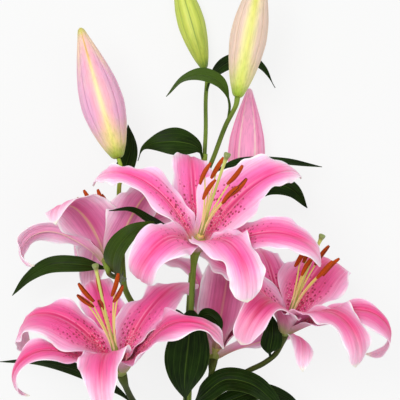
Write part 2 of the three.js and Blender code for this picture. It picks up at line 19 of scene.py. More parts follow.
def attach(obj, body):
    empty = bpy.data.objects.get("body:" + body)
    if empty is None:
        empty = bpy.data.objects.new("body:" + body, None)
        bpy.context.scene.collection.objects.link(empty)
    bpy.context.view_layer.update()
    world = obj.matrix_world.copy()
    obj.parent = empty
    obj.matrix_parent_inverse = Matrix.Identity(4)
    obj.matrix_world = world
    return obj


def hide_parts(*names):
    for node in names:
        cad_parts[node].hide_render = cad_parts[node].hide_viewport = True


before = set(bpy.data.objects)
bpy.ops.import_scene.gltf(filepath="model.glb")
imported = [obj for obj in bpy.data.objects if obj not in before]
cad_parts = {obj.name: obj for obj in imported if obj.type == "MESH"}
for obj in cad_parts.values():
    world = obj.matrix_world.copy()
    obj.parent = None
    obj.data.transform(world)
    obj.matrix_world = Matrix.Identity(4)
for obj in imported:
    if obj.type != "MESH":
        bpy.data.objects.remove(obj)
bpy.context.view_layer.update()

LOG = logging.getLogger("lily")

Triple = tuple[float, float, float]
Colour = tuple[float, float, float, float]
Shape = Callable[[float, float], float]
Piece = bpy.types.Object
Material = bpy.types.Material

# Where the drawing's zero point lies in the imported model, and the scale from drawing to scene.
DRAWING_ORIGIN = Vector((7, 67, 0))
MILLIMETRE = 0.001

# A blade that would reach under the table settles at this height, over this much of its fall.
FLOOR_CONTACT = 0.15
FLOOR_SOFTNESS = 2.0

# The camera hangs over the drawing's zero point. A width of 340 mm fills its picture 1500 mm away.
CAMERA_HEIGHT = 1.58
CAMERA_SENSOR = 36.0
CAMERA_LENS = 1500 * CAMERA_SENSOR / 340
CAMERA_REACH = 50.0

# Merging distance for the seams and ends of wrapped surfaces, in metres.
SEAM = 1e-6

# Edges sharper than this stay sharp on a blade, in degrees.
SHARP_EDGE = 50

# A line steeper than this keeps its rings level with the x axis instead of the z axis.
STEEP = 0.8

# How a blade thins from its rib to its edge, and from its base to its end.
RIB_FALL = 1.5
END_THINNING = 0.6

# The draws are repeatable; a piece's place in the grain is drawn from this much of it, in millimetres.
SEED = 7
GRAIN_REACH = 50
TEPAL_GRAIN_REACH = 60

WHITE = (1.0, 1.0, 1.0, 1.0)


class Whorl(Enum):
    """The two rings in which a bloom's tepals grow."""

    OUTER = "outer"
    INNER = "inner"


OUTER, INNER = Whorl.OUTER, Whorl.INNER


class BudKind(Enum):
    """How far a bud has ripened, which sets its colours."""

    PINK = "pink"
    ROSE = "rose"
    PALE = "pale"
    GREEN = "green"


@dataclass(frozen=True)
class WhorlForm:
    """The shape that the tepals of one whorl share.

    Sizes are millimetres; claw and the tapers shape the outline, ruffle and frill wave the edge.
    """

    radius: float
    claw: float
    taper: float
    tip_taper: float
    ruffle: float
    waves: float
    set_back: float
    frill: float
    frills: float


WHORL_FORMS = {
    OUTER: WhorlForm(
        radius=5.4, claw=0.36, taper=1.1, tip_taper=0.68, ruffle=2.0, waves=2.5, set_back=3.5,
        frill=0.9, frills=5.5,
    ),
    INNER: WhorlForm(
        radius=3.2, claw=0.34, taper=0.9, tip_taper=0.5, ruffle=2.8, waves=3, set_back=0,
        frill=1.6, frills=6.5,
    ),
}


@dataclass(frozen=True)
class TepalPlan:
    """One tepal: its whorl, its bearing round the axis, and how its midrib bends outwards.

    A point under 1 makes its end blunter than those of its whorl, blush makes its pink deeper than
    that of its bloom, full makes it wider above the base, wavy waves its edge more, lopsided makes one
    half wider than the other, and nip narrows its clockwise half two thirds of the way out.
    """

    whorl: Whorl
    bearing: float
    rise: float
    spread: float
    tip: float
    bend: float
    length: float
    width: float
    point: float = 1.0
    blush: float = 0.0
    full: float = 0.0
    wavy: float = 1.0
    lopsided: float = 0.0
    nip: float = 0.0


@dataclass(frozen=True)
class BloomPlan:
    """One open bloom: where its base is, which way it faces, and its six tepals.

    Reach is the length of its stamens against the front bloom's, and depth how deep its pink is.
    Drift moves the ends of its stamens aside, and all its anthers point the anther way if it has one.
    """

    name: str
    base: Triple
    axis: Triple
    reach: float
    depth: float
    tepals: tuple[TepalPlan, ...]
    drift: Triple = (0, 0, 0)
    anther_way: Optional[Triple] = None


@dataclass(frozen=True)
class BudPlan:
    """One closed bud: its kind, the record's slot, its two ends, its radius and how far up that is."""

    name: str
    kind: BudKind
    slot: str
    base: Triple
    tip: Triple
    radius: float
    widest: float


@dataclass(frozen=True)
class StalkPlan:
    """The stem or a stalk: its path, the radius at its foot, and what it leaves.

    It tapers to end where that is given. It carries the bloom or bud of its own name, or the one given.
    """

    name: str
    path: tuple[Triple, ...]
    foot: float
    leaves: Optional[str] = "stem"
    end: Optional[float] = None
    carries: Optional[str] = None


@dataclass(frozen=True)
class LeafPlan:
    """One leaf: its midrib, its width, the way it faces, the stalk that carries it, and its fold.

    Stalk is the share that is thin, opening the share over which the blade widens, onset how slowly it
    starts to, taper how slender it is, and young how light its green is.
    """

    name: str
    path: tuple[Triple, ...]
    width: float
    face: Triple
    grows_on: str = "stem"
    fold: float = 0.12
    stalk: float = 0.05
    opening: float = 0.3
    taper: float = 0.85
    onset: float = 1.0
    young: float = 0.0


BLOOM_PLANS = (
    BloomPlan(
        "front", base=(-3, -41, 125), axis=(0.2, 0.67, 0.71), reach=1, depth=0.15,
        drift=(2.5, -2, 0), anther_way=(0.62, 0.78, 0.2),
        tepals=(
            TepalPlan(INNER, 154, 34, 75, 181, 4, 131, 31),
            TepalPlan(OUTER, 102, 27, 92, 152, -30, 121, 38),
            TepalPlan(INNER, 38, 29, 56, 156, -10, 129, 42, 1.4, blush=-0.25, full=0.4, lopsided=-0.25),
            TepalPlan(OUTER, 344, 34, 69, 176, 16, 129, 37, 0.55, blush=0.35),
            TepalPlan(INNER, 298, 23, 63, 184, -8, 119, 40, 0.6, blush=-0.15, full=0.3, lopsided=0.1),
            TepalPlan(OUTER, 226, 24, 82, 256, 8, 128, 38, 0.5, blush=0.15),
        ),
    ),
    BloomPlan(
        "lower_left", base=(-65, -144, 116), axis=(-0.2, 0.84, 0.5), reach=1, depth=0.62,
        drift=(3, -4, 0),
        tepals=(
            TepalPlan(INNER, 156, 25, 66, 214, 14, 134, 48, 0.5, blush=0.15, lopsided=-0.3),
            TepalPlan(OUTER, 100, 25, 71, 133, 11, 116, 36),
            TepalPlan(INNER, 42, 25, 76, 131, 26, 116, 46, 0.6),
            TepalPlan(
                OUTER, 345, 35, 68, 195, 14, 127, 40, blush=0.35, full=0.7, wavy=2.0, lopsided=0.2, nip=0.45,
            ),
            TepalPlan(INNER, 270, 22, 65, 176, -8, 120, 39, blush=0.2, lopsided=0.1),
            TepalPlan(OUTER, 204, 40, 72, 243, -13, 135, 30, blush=0.3),
        ),
    ),
    BloomPlan(
        "lower_right", base=(71, -113, 87), axis=(0.25, 0.84, 0.47), reach=0.88, depth=0.95,
        drift=(5, -3, 0), anther_way=(0.6, 0.8, 0.1),
        tepals=(
            # Painted light: these two tepals lie in shade, and their negative blush paints them paler than
            # their bloom.
            TepalPlan(OUTER, 114, 28, 84, 128, -24, 117, 36, blush=-0.8),
            TepalPlan(INNER, 171, 27, 63, 86, -1, 113, 46, blush=-0.8),
            TepalPlan(OUTER, 233, 24, 67, 210, 8, 123, 35, 0.5, blush=0.5, full=0.3),
            TepalPlan(INNER, 64, 23, 73, 160, -8, 118, 54),
            TepalPlan(OUTER, 343, 36, 80, 265, 12, 139, 36, 0.75, full=0.4, lopsided=0.25),
            TepalPlan(INNER, 302, 28, 64, 195, 14, 126, 42, 0.75, full=0.5),
        ),
    ),
    BloomPlan(
        "back_left", base=(-78, -54, 88), axis=(-0.06, 0.76, -0.65), reach=0.62, depth=0.25,
        drift=(-9, 3, 0), anther_way=(-0.5, 0.8, 0.1),
        tepals=(
            TepalPlan(INNER, 241, 25, 98, 190, -8, 110, 46, 1.5, full=0.3, wavy=0.3),
            TepalPlan(OUTER, 180, 25, 88, 255, -16, 123, 28, blush=-0.6),
            TepalPlan(OUTER, 308, 27, 83, 159, -23, 108, 42, blush=-0.38),
            TepalPlan(INNER, -6, 19, 58, 125, 13, 112, 42),
            TepalPlan(OUTER, 108, 27, 39, 133, 12, 109, 32),
            TepalPlan(INNER, 109, 21, 71, 240, -15, 113, 31, blush=-0.4),
        ),
    ),
    BloomPlan(
        # Its deep pink is partly the bloom's own colour and partly painted shade.
        "back_centre", base=(11, -137, 70), axis=(0.1, 0.88, -0.46), reach=0.66, depth=0.85,
        tepals=(
            TepalPlan(INNER, 281, 20, 52, 125, -22, 114, 44, wavy=0.5),
            TepalPlan(OUTER, 205, 12, 32, 178, 5, 128, 25, blush=-0.7),
            TepalPlan(INNER, 85, 22, 38, 268, 14, 115, 40),
            TepalPlan(OUTER, 54, 14, 46, 135, -17, 108, 32),
            TepalPlan(INNER, 36, 21, 35, 116, 0, 116, 42),
            TepalPlan(OUTER, 0, 46, 95, 210, -110, 118, 31, 0.8, blush=-0.9),
        ),
    ),
)

BUD_PLANS = (
    BudPlan("pink_left", BudKind.PINK, "bud_pink", (-70, 36, 70), (-103, 148, 62), 18.5, 0.41),
    BudPlan("green", BudKind.GREEN, "bud_green", (4, 117, 13), (-22, 207, 9), 12, 0.45),
    BudPlan("pale_right", BudKind.PALE, "bud_pale", (32, 88, 74), (53, 201, 68), 15.7, 0.45),
    BudPlan("pink_back", BudKind.ROSE, "bud_pink", (39, -3, 17), (44, 99, 11), 16.4, 0.42),
)

STALK_PLANS = (
    StalkPlan("stem", (
        (-18, -340, 3.4), (-17, -264, 26), (-14, -209, 41), (-11, -173, 47), (-10, -129, 44),
        (-9, -95, 40), (-5, -48, 40), (1, 0, 44), (4, 40, 49),
    ), 4.6, leaves=None, end=2.6),
    StalkPlan("shoot", (
        (-8, -126, 57), (-29, -116, 46), (-53, -98, 38), (-65, -79, 36), (-67, -62, 42), (-68, -35, 46),
        (-70, 4, 58),
    ), 3, end=1.7, carries="pink_left"),
    StalkPlan("front", ((-11, -166, 47), (-9, -140, 74), (-8, -110, 94), (-7, -80, 106)), 2.4),
    StalkPlan("back_left", ((-60, -68, 39), (-68, -68, 58), (-76, -64, 76)), 2.2, leaves="shoot"),
    StalkPlan("lower_left", ((-14, -225, 40), (-35, -199, 56), (-56, -172, 80)), 2.6),
    StalkPlan("lower_right", (
        (-12, -198, 44), (12, -171, 52), (38, -149, 62), (55, -139, 73), (65, -130, 79),
    ), 2.3),
    StalkPlan("back_centre", ((-12, -209, 42), (2, -186, 45), (8, -160, 57)), 2.6),
    StalkPlan("green", ((4, 37, 48), (5, 60, 43), (5, 88, 25)), 1.8),
    StalkPlan("pale_right", ((3, 16, 49), (11, 35, 56), (22, 64, 68)), 2),
    StalkPlan("pink_back", ((-2, -32, 41), (14, -26, 32), (33, -15, 21)), 2),
)

LEAF_PLANS = (
    LeafPlan("upper_left", (
        (4, 32, 48), (-2, 45, 56), (-19, 50, 63), (-38, 49, 62), (-49, 45, 56), (-54, 34, 46),
    ), 25, (0, 0.3, 0.95), stalk=0.02, opening=0.2, taper=2.5, young=0.1),
    LeafPlan("on_pale_bud", (
        (25, 68, 70), (25, 82, 76), (18, 99, 82), (3, 106, 82), (-14, 103, 74), (-29, 89, 62),
    ), 16, (0, 0.75, 0.65), grows_on="pale_right", fold=0.15, stalk=0.12, young=0.8),
    LeafPlan("on_green_bud", (
        (5, 94, 21), (10, 107, 24), (23, 120, 23), (41, 125, 19), (56, 117, 13), (67, 100, 6),
    ), 16, (0, 0.6, 0.8), grows_on="green", fold=0.15, stalk=0.06, opening=0.16, taper=1.8),
    LeafPlan("right_thin", (
        (3, 14, 48), (16, 26, 44), (44, 34, 42), (75, 33, 40), (107, 29, 32),
    ), 12, (0, 0.75, 0.65), fold=0.15),
    LeafPlan("right_down", (
        (3, 0, 50), (31, 5, 48), (61, 14, 46), (80, 9, 42), (94, -7, 34),
    ), 22, (-0.2, 0.2, 0.95)),
    LeafPlan("behind_pink_bud", (
        (-70, 9, 60), (-66, 26, 44), (-61, 45, 36), (-63, 66, 36),
    ), 16, (0, 0, 1), grows_on="shoot"),
    LeafPlan("left_long", (
        (-66, -65, 38), (-82, -60, 42), (-104, -56, 48), (-130, -57, 46), (-150, -68, 38),
        (-165, -84, 28),
    ), 16, (0, 0.5, 0.85), grows_on="shoot", fold=0.15, young=0.2),
    LeafPlan("left_raised", (
        (-64, -61, 42), (-67, -67, 70), (-73, -58, 100), (-69, -41, 116), (-57, -27, 123),
        (-38, -18, 118),
    ), 24, (-0.5, 0.1, 0.85), grows_on="shoot", stalk=0.1, taper=0.7, young=0.5),
    LeafPlan("behind_front_bloom", (
        (-2, -35, 54), (-21, -29, 84), (-42, -17, 106), (-57, -8, 110), (-76, -9, 105),
    ), 12, (0, 0.7, 0.7)),
    LeafPlan("lower_broad", (
        (-10, -179, 46), (-12.5, -170, 66), (-13, -150, 87), (-9.5, -118, 103), (-7, -92, 109),
    ), 42, (0, -0.3, 0.95), stalk=0.15, opening=0.6, taper=0.5, onset=0.6),
    LeafPlan("lower_right", (
        (-7, -181, 47), (2, -168, 68), (22, -153, 78), (44, -157, 77), (62, -172, 67), (76, -190, 49),
    ), 22, (0, 0.5, 0.85), fold=0.15, stalk=0.08, opening=0.16),
    LeafPlan("lower_right_under", (
        (-9, -191, 50), (22, -175, 52), (50, -166, 52), (74, -172, 46), (92, -186, 34),
    ), 18, (0, 0.5, 0.85)),
    LeafPlan("on_right_stalk", (
        (60, -134, 76), (59, -128, 86), (61, -114, 92), (61, -98, 86),
    ), 18, (0, 0, 1), grows_on="lower_right", fold=0.15, stalk=0.12),
    LeafPlan("far_left_thin", (
        (-44, -188, 68), (-70, -166, 56), (-105, -149, 44), (-141, -142, 34), (-177, -143, 20),
    ), 14, (0, 0.8, 0.6), grows_on="lower_left"),
    LeafPlan("mid_left", (
        (-8, -118, 88), (-14, -107, 92), (-22, -98, 94), (-36, -94, 86),
    ), 14, (0, 0.5, 0.85), grows_on="front"),
    LeafPlan("mid_right", (
        (-8, -102, 97), (0, -98, 99), (7, -96, 104), (14, -101, 106), (18, -111, 100),
    ), 12, (0, 0.4, 0.9), grows_on="front"),
    LeafPlan("foot_left", (
        (-17, -268, 27), (-35, -254, 36), (-63, -263, 34), (-92, -292, 18), (-107, -321, 5),
    ), 22, (0, 0.2, 1), fold=0.15),
    LeafPlan("foot_right", (
        (-16, -245, 33), (9, -235, 44), (39, -248, 42), (66, -283, 22), (80, -316, 7),
    ), 24, (0, 0.2, 1), fold=0.15),
    LeafPlan("foot_low", (
        (-18, -301, 16), (0, -282, 26), (28, -291, 24), (52, -320, 8),
    ), 18, (0, 0.2, 1), fold=0.15),
    LeafPlan("foot_upper_left", (
        (-15, -232, 38), (-44, -218, 42), (-79, -220, 36), (-113, -244, 16),
    ), 20, (0, 0.2, 1), fold=0.15),
)


def rise(value: float, low: float, high: float) -> float:
    """A smooth step from 0 at low to 1 at high."""
    share = min(1.0, max(0.0, (value - low) / (high - low)))
    return share * share * (3 - 2 * share)


def bump(value: float, middle: float, width: float) -> float:
    """A soft hill: 1 at the middle, and nearly gone two widths away."""
    return exp(-(((value - middle) / width) ** 2))


def steps(count: int) -> list[float]:
    """The shares from 0 to 1 in so many equal steps."""
    return [i / count for i in range(count + 1)]


def to_scene(point: Vector) -> Vector:
    """Moves a drawing point in millimetres to its place in the scene in metres."""
    return (point + DRAWING_ORIGIN) * MILLIMETRE


def pressed(point: Vector) -> Vector:
    """Lets a point that would pass under the table lie on it instead."""
    above = point.z - FLOOR_CONTACT
    return Vector((point.x, point.y, FLOOR_CONTACT + (above + hypot(above, FLOOR_SOFTNESS)) / 2))


class Line:
    """A smooth line through points, read by the share of its length."""

    DIVISIONS = 200
    PROBE = 1e-4
    SHORTEST = 1e-9

    def __init__(self, points: Sequence[Vector]) -> None:
        """Measures the line.

        Args:
            points: The places that it passes through, two or more.
        """
        self.points = [Vector(point) for point in points]
        places = [self._place(u) for u in steps(self.DIVISIONS)]
        self.lengths = [0.0]
        for a, b in zip(places, places[1:]):
            self.lengths.append(self.lengths[-1] + (b - a).length)
        self.length = self.lengths[-1]

    def _place(self, u: float) -> Vector:
        """The place at a share of the points, by centripetal spans between them.

        Args:
            u: The share, 0 at the first point and 1 at the last.

        Returns:
            The place.
        """
        points, last = self.points, len(self.points) - 1
        position = last * min(1.0, max(0.0, u))
        index = min(int(position), last - 1)
        weight = position - index
        p1, p2 = points[index], points[index + 1]
        p0 = points[index - 1] if index > 0 else 2 * p1 - p2
        p3 = points[index + 2] if index + 2 <= last else 2 * p2 - p1
        pairs = ((p0, p1), (p1, p2), (p2, p3))
        d0, d1, d2 = (max(self.SHORTEST, (b - a).length) ** 0.5 for a, b in pairs)
        t1 = ((p1 - p0) / d0 - (p2 - p0) / (d0 + d1) + (p2 - p1) / d1) * d1
        t2 = ((p2 - p1) / d1 - (p3 - p1) / (d1 + d2) + (p3 - p2) / d2) * d1
        c2 = -3 * p1 + 3 * p2 - 2 * t1 - t2
        c3 = 2 * p1 - 2 * p2 + t1 + t2
        return p1 + t1 * weight + c2 * weight**2 + c3 * weight**3

    def _share(self, s: float) -> float:
        """The share of the points at a share of the length.

        Args:
            s: The share of the length.

        Returns:
            The share of the points.
        """
        target = min(1.0, max(0.0, s)) * self.length
        low = min(bisect_right(self.lengths, target), self.DIVISIONS) - 1
        span = self.lengths[low + 1] - self.lengths[low]
        return (low + (target - self.lengths[low]) / max(span, self.SHORTEST)) / self.DIVISIONS

    def at(self, s: float) -> Vector:
        """The place at a share of the length."""
        return self._place(self._share(s))

    def along(self, s: float) -> Vector:
        """The direction at a share of the length."""
        u = self._share(s)
        return (self._place(min(1, u + self.PROBE)) - self._place(max(0, u - self.PROBE))).normalized()

    def station(self, s: float, up: Vector) -> tuple[Vector, Vector, Vector]:
        """A place on the line and two directions across it.

        Args:
            s: The share of the length.
            up: What the second direction comes nearest to.

        Returns:
            The place and the two directions.
        """
        along = self.along(s)
        side = along.cross(up).normalized()
        return self.at(s), side, side.cross(along)

    def nearest(self, point: Vector) -> Vector:
        """The place on the line that is nearest to a point."""
        places = [self.at(s) for s in steps(self.DIVISIONS)]
        return min(places, key=lambda place: (place - point).length)


@dataclass(frozen=True)
class Skin:
    """One point of a surface: its place, where it lies on the form, and where in the grain."""

    place: Vector
    form: Triple
    grain: Triple


def clear_selection() -> None:
    """Deselects everything, so that the next operator acts on one piece alone."""
    if bpy.context.mode != "OBJECT":
        bpy.ops.object.mode_set(mode="OBJECT")
    bpy.ops.object.select_all(action="DESELECT")


def select_only(piece: Piece) -> None:
    """Selects one piece and makes it the active one.

    Args:
        piece: The piece.
    """
    clear_selection()
    piece.select_set(True)
    bpy.context.view_layer.objects.active = piece


def new_sheet(
    name: str, columns: int, rows: int, finishes: Sequence[Material], skin: Callable[[float, float], Skin]
) -> Piece:
    """Models a curved sheet: a grid is added and each of its points goes to its place.

    Args:
        name: The piece's name.
        columns: Faces across it.
        rows: Faces along it.
        finishes: The finish of its upper face, and of its lower one if it has two.
        skin: Gives the skin for t, 0 to 1 along it, and x, -1 to 1 across it.

    Returns:
        The sheet, in the scene's metres, with its patterns kept as point attributes.
    """
    clear_selection()
    bpy.ops.mesh.primitive_grid_add(x_subdivisions=columns, y_subdivisions=rows, size=2)
    sheet = bpy.context.active_object
    sheet.name = sheet.data.name = name
    mesh = sheet.data
    form = mesh.attributes.new("form", "FLOAT_VECTOR", "POINT")
    grain = mesh.attributes.new("grain", "FLOAT_VECTOR", "POINT")
    for point, form_value, grain_value in zip(mesh.vertices, form.data, grain.data):
        spot = skin((point.co.y + 1) / 2, point.co.x)
        point.co = to_scene(spot.place)
        form_value.vector = spot.form
        grain_value.vector = spot.grain
    for finish in finishes:
        mesh.materials.append(finish)
    return sheet


def wrap(piece: Piece) -> None:
    """Closes a rolled sheet at its seam and its two ends, with the faces outwards.

    Args:
        piece: The rolled sheet.
    """
    select_only(piece)
    bpy.ops.object.mode_set(mode="EDIT")
    bpy.ops.mesh.select_all(action="SELECT")
    bpy.ops.mesh.remove_doubles(threshold=SEAM)
    bpy.ops.mesh.normals_make_consistent(inside=False)
    bpy.ops.object.mode_set(mode="OBJECT")
    bpy.ops.object.shade_smooth()


def new_tube(
    name: str,
    line: Line,
    rings: Sequence[tuple[float, float]],
    sides: int,
    finish: Material,
    swell: Shape = lambda angle, share: 1.0,
    mark: Shape = lambda angle, share: 0.0,
    seed: float = 0.0,
) -> Piece:
    """Models a closed round body: a grid is rolled round a line and sewn up.

    Args:
        name: The piece's name.
        line: Its centre line.
        rings: The share of the line and the radius of every ring.
        sides: Faces round it.
        finish: Its finish.
        swell: What multiplies the radius at an angle and a share.
        mark: A number kept for the finish at an angle and a share.
        seed: Moves the grain, so that two pieces differ.

    Returns:
        The body, in the scene's metres.
    """
    chord = (line.at(1) - line.at(0)).normalized()
    up = Vector((0, 0, 1)) if abs(chord.z) < STEEP else Vector((1, 0, 0))
    ends = [(rings[0][0], 0.0), *rings, (rings[-1][0], 0.0)]
    stations = [line.station(share, up) for share, _ in ends]

    def skin(t: float, x: float) -> Skin:
        """One point of the body.

        Args:
            t: The share of the rings.
            x: The share of half a turn.

        Returns:
            The point.
        """
        row = round(t * (len(ends) - 1))
        share, radius = ends[row]
        centre, side, top = stations[row]
        angle = pi * x
        reach = radius * swell(angle, share)
        place = centre + side * (reach * sin(angle)) + top * (reach * cos(angle))
        girth = rings[min(max(row - 1, 0), len(rings) - 1)][1]
        grain = (sin(angle) * girth + seed, cos(angle) * girth, share * line.length)
        return Skin(place, (mark(angle, share), share, seed), grain)

    tube = new_sheet(name, sides, len(ends) - 1, (finish,), skin)
    wrap(tube)
    return tube


def ribbed(t: float, x: float, edge: float) -> float:
    """The share of a blade's greatest thickness: a thick rib, and a thin edge and end."""
    return edge + (1 - edge) * ((1 - abs(x)) ** RIB_FALL * (1 - END_THINNING * t))


def thicken(sheet: Piece, thickest: float, share: Shape) -> None:
    """Gives a sheet its two faces and its rim.

    Args:
        sheet: A piece whose form attribute holds x and t first.
        thickest: The greatest thickness, in millimetres.
        share: The part of it that a point has, for t and x.
    """
    group = sheet.vertex_groups.new(name="thickness")
    for index, value in enumerate(sheet.data.attributes["form"].data):
        group.add([index], share(value.vector[1], value.vector[0]), "REPLACE")
    select_only(sheet)
    bpy.ops.object.modifier_add(type="SOLIDIFY")
    wall = sheet.modifiers[-1]
    wall.thickness = thickest * MILLIMETRE
    wall.offset = 0
    wall.vertex_group = group.name
    wall.material_offset = 1
    bpy.ops.object.modifier_apply(modifier=wall.name)
    bpy.ops.object.shade_smooth_by_angle(angle=radians(SHARP_EDGE))
    sheet.vertex_groups.clear()


def lay_on_table(piece: Piece) -> None:
    """Flattens what would reach under the table."""
    for point in piece.data.vertices:
        point.co.z = max(0.0, point.co.z)


def copy_of(piece: Piece, change: Matrix) -> Piece:
    """Copies a modelled piece with its own mesh and puts the copy in place.

    Args:
        piece: The piece to repeat.
        change: From the piece's own coordinates to the scene.

    Returns:
        The copy.
    """
    select_only(piece)
    bpy.ops.object.duplicate(linked=False)
    copy = bpy.context.active_object
    copy.data.transform(change)
    return copy


def join(name: str, pieces: Sequence[Piece]) -> Piece:
    """Joins grown-together pieces into one.

    Args:
        name: The name of the whole.
        pieces: What it is made of, each with its own finish.

    Returns:
        The joined piece.
    """
    select_only(pieces[0])
    for piece in pieces[1:]:
        piece.select_set(True)
    bpy.ops.object.join()
    whole = bpy.context.active_object
    whole.name = whole.data.name = name
    lay_on_table(whole)
    return whole


def hand_over(piece: Piece, node: str, slot: str) -> None:
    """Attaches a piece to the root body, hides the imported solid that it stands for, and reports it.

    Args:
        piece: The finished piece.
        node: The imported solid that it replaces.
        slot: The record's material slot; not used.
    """
    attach(piece, "root")
    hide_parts(node)
    LOG.info("%s: %d faces", piece.name, len(piece.data.polygons))


def colour(*channels: float) -> Colour:
    """Red, green and blue as seen on a screen, 0 to 255, as the shader's linear numbers."""
    shares = [channel / 255 for channel in channels]
    return (*(c / 12.92 if c <= 0.04045 else ((c + 0.055) / 1.055) ** 2.4 for c in shares), 1.0)


# How fine streaks grey a finish: the darkest of them, then plain.
GREY_STREAK = ((0.25, (0.8, 0.8, 0.8, 1.0)), (0.55, WHITE), (1.0, WHITE))


@dataclass(frozen=True)
class Wire:
    """A value on its way from a node's output; arithmetic on it adds Math nodes."""

    graph: "Graph"
    socket: bpy.types.NodeSocket

    def __add__(self, other: "Value") -> "Wire":
        """Adds."""
        return self.graph.math("ADD", self, other)

    __radd__ = __add__

    def __sub__(self, other: "Value") -> "Wire":
        """Subtracts."""
        return self.graph.math("SUBTRACT", self, other)

    def __rsub__(self, other: "Value") -> "Wire":
        """Subtracts from a number."""
        return self.graph.math("SUBTRACT", other, self)

    def __mul__(self, other: "Value") -> "Wire":
        """Multiplies."""
        return self.graph.math("MULTIPLY", self, other)

    __rmul__ = __mul__

    def __truediv__(self, other: "Value") -> "Wire":
        """Divides."""
        return self.graph.math("DIVIDE", self, other)

    def __rtruediv__(self, other: "Value") -> "Wire":
        """Divides a number."""
        return self.graph.math("DIVIDE", other, self)

    def __abs__(self) -> "Wire":
        """Drops the sign."""
        return self.graph.math("ABSOLUTE", self)

    def rise(self, low: float, high: float) -> "Wire":
        """A smooth step from 0 at low to 1 at high."""
        inputs = {"Value": self, "From Min": low, "From Max": high}
        return self.graph.wire("ShaderNodeMapRange", inputs, interpolation_type="SMOOTHSTEP")

    def near(self, middle: float, width: float) -> "Wire":
        """1 where the value is the middle, falling smoothly to 0 a width away."""
        return 1 - abs(self - middle).rise(0.0, width)


Value = Union[Wire, float]
Tint = Union[Wire, Colour]


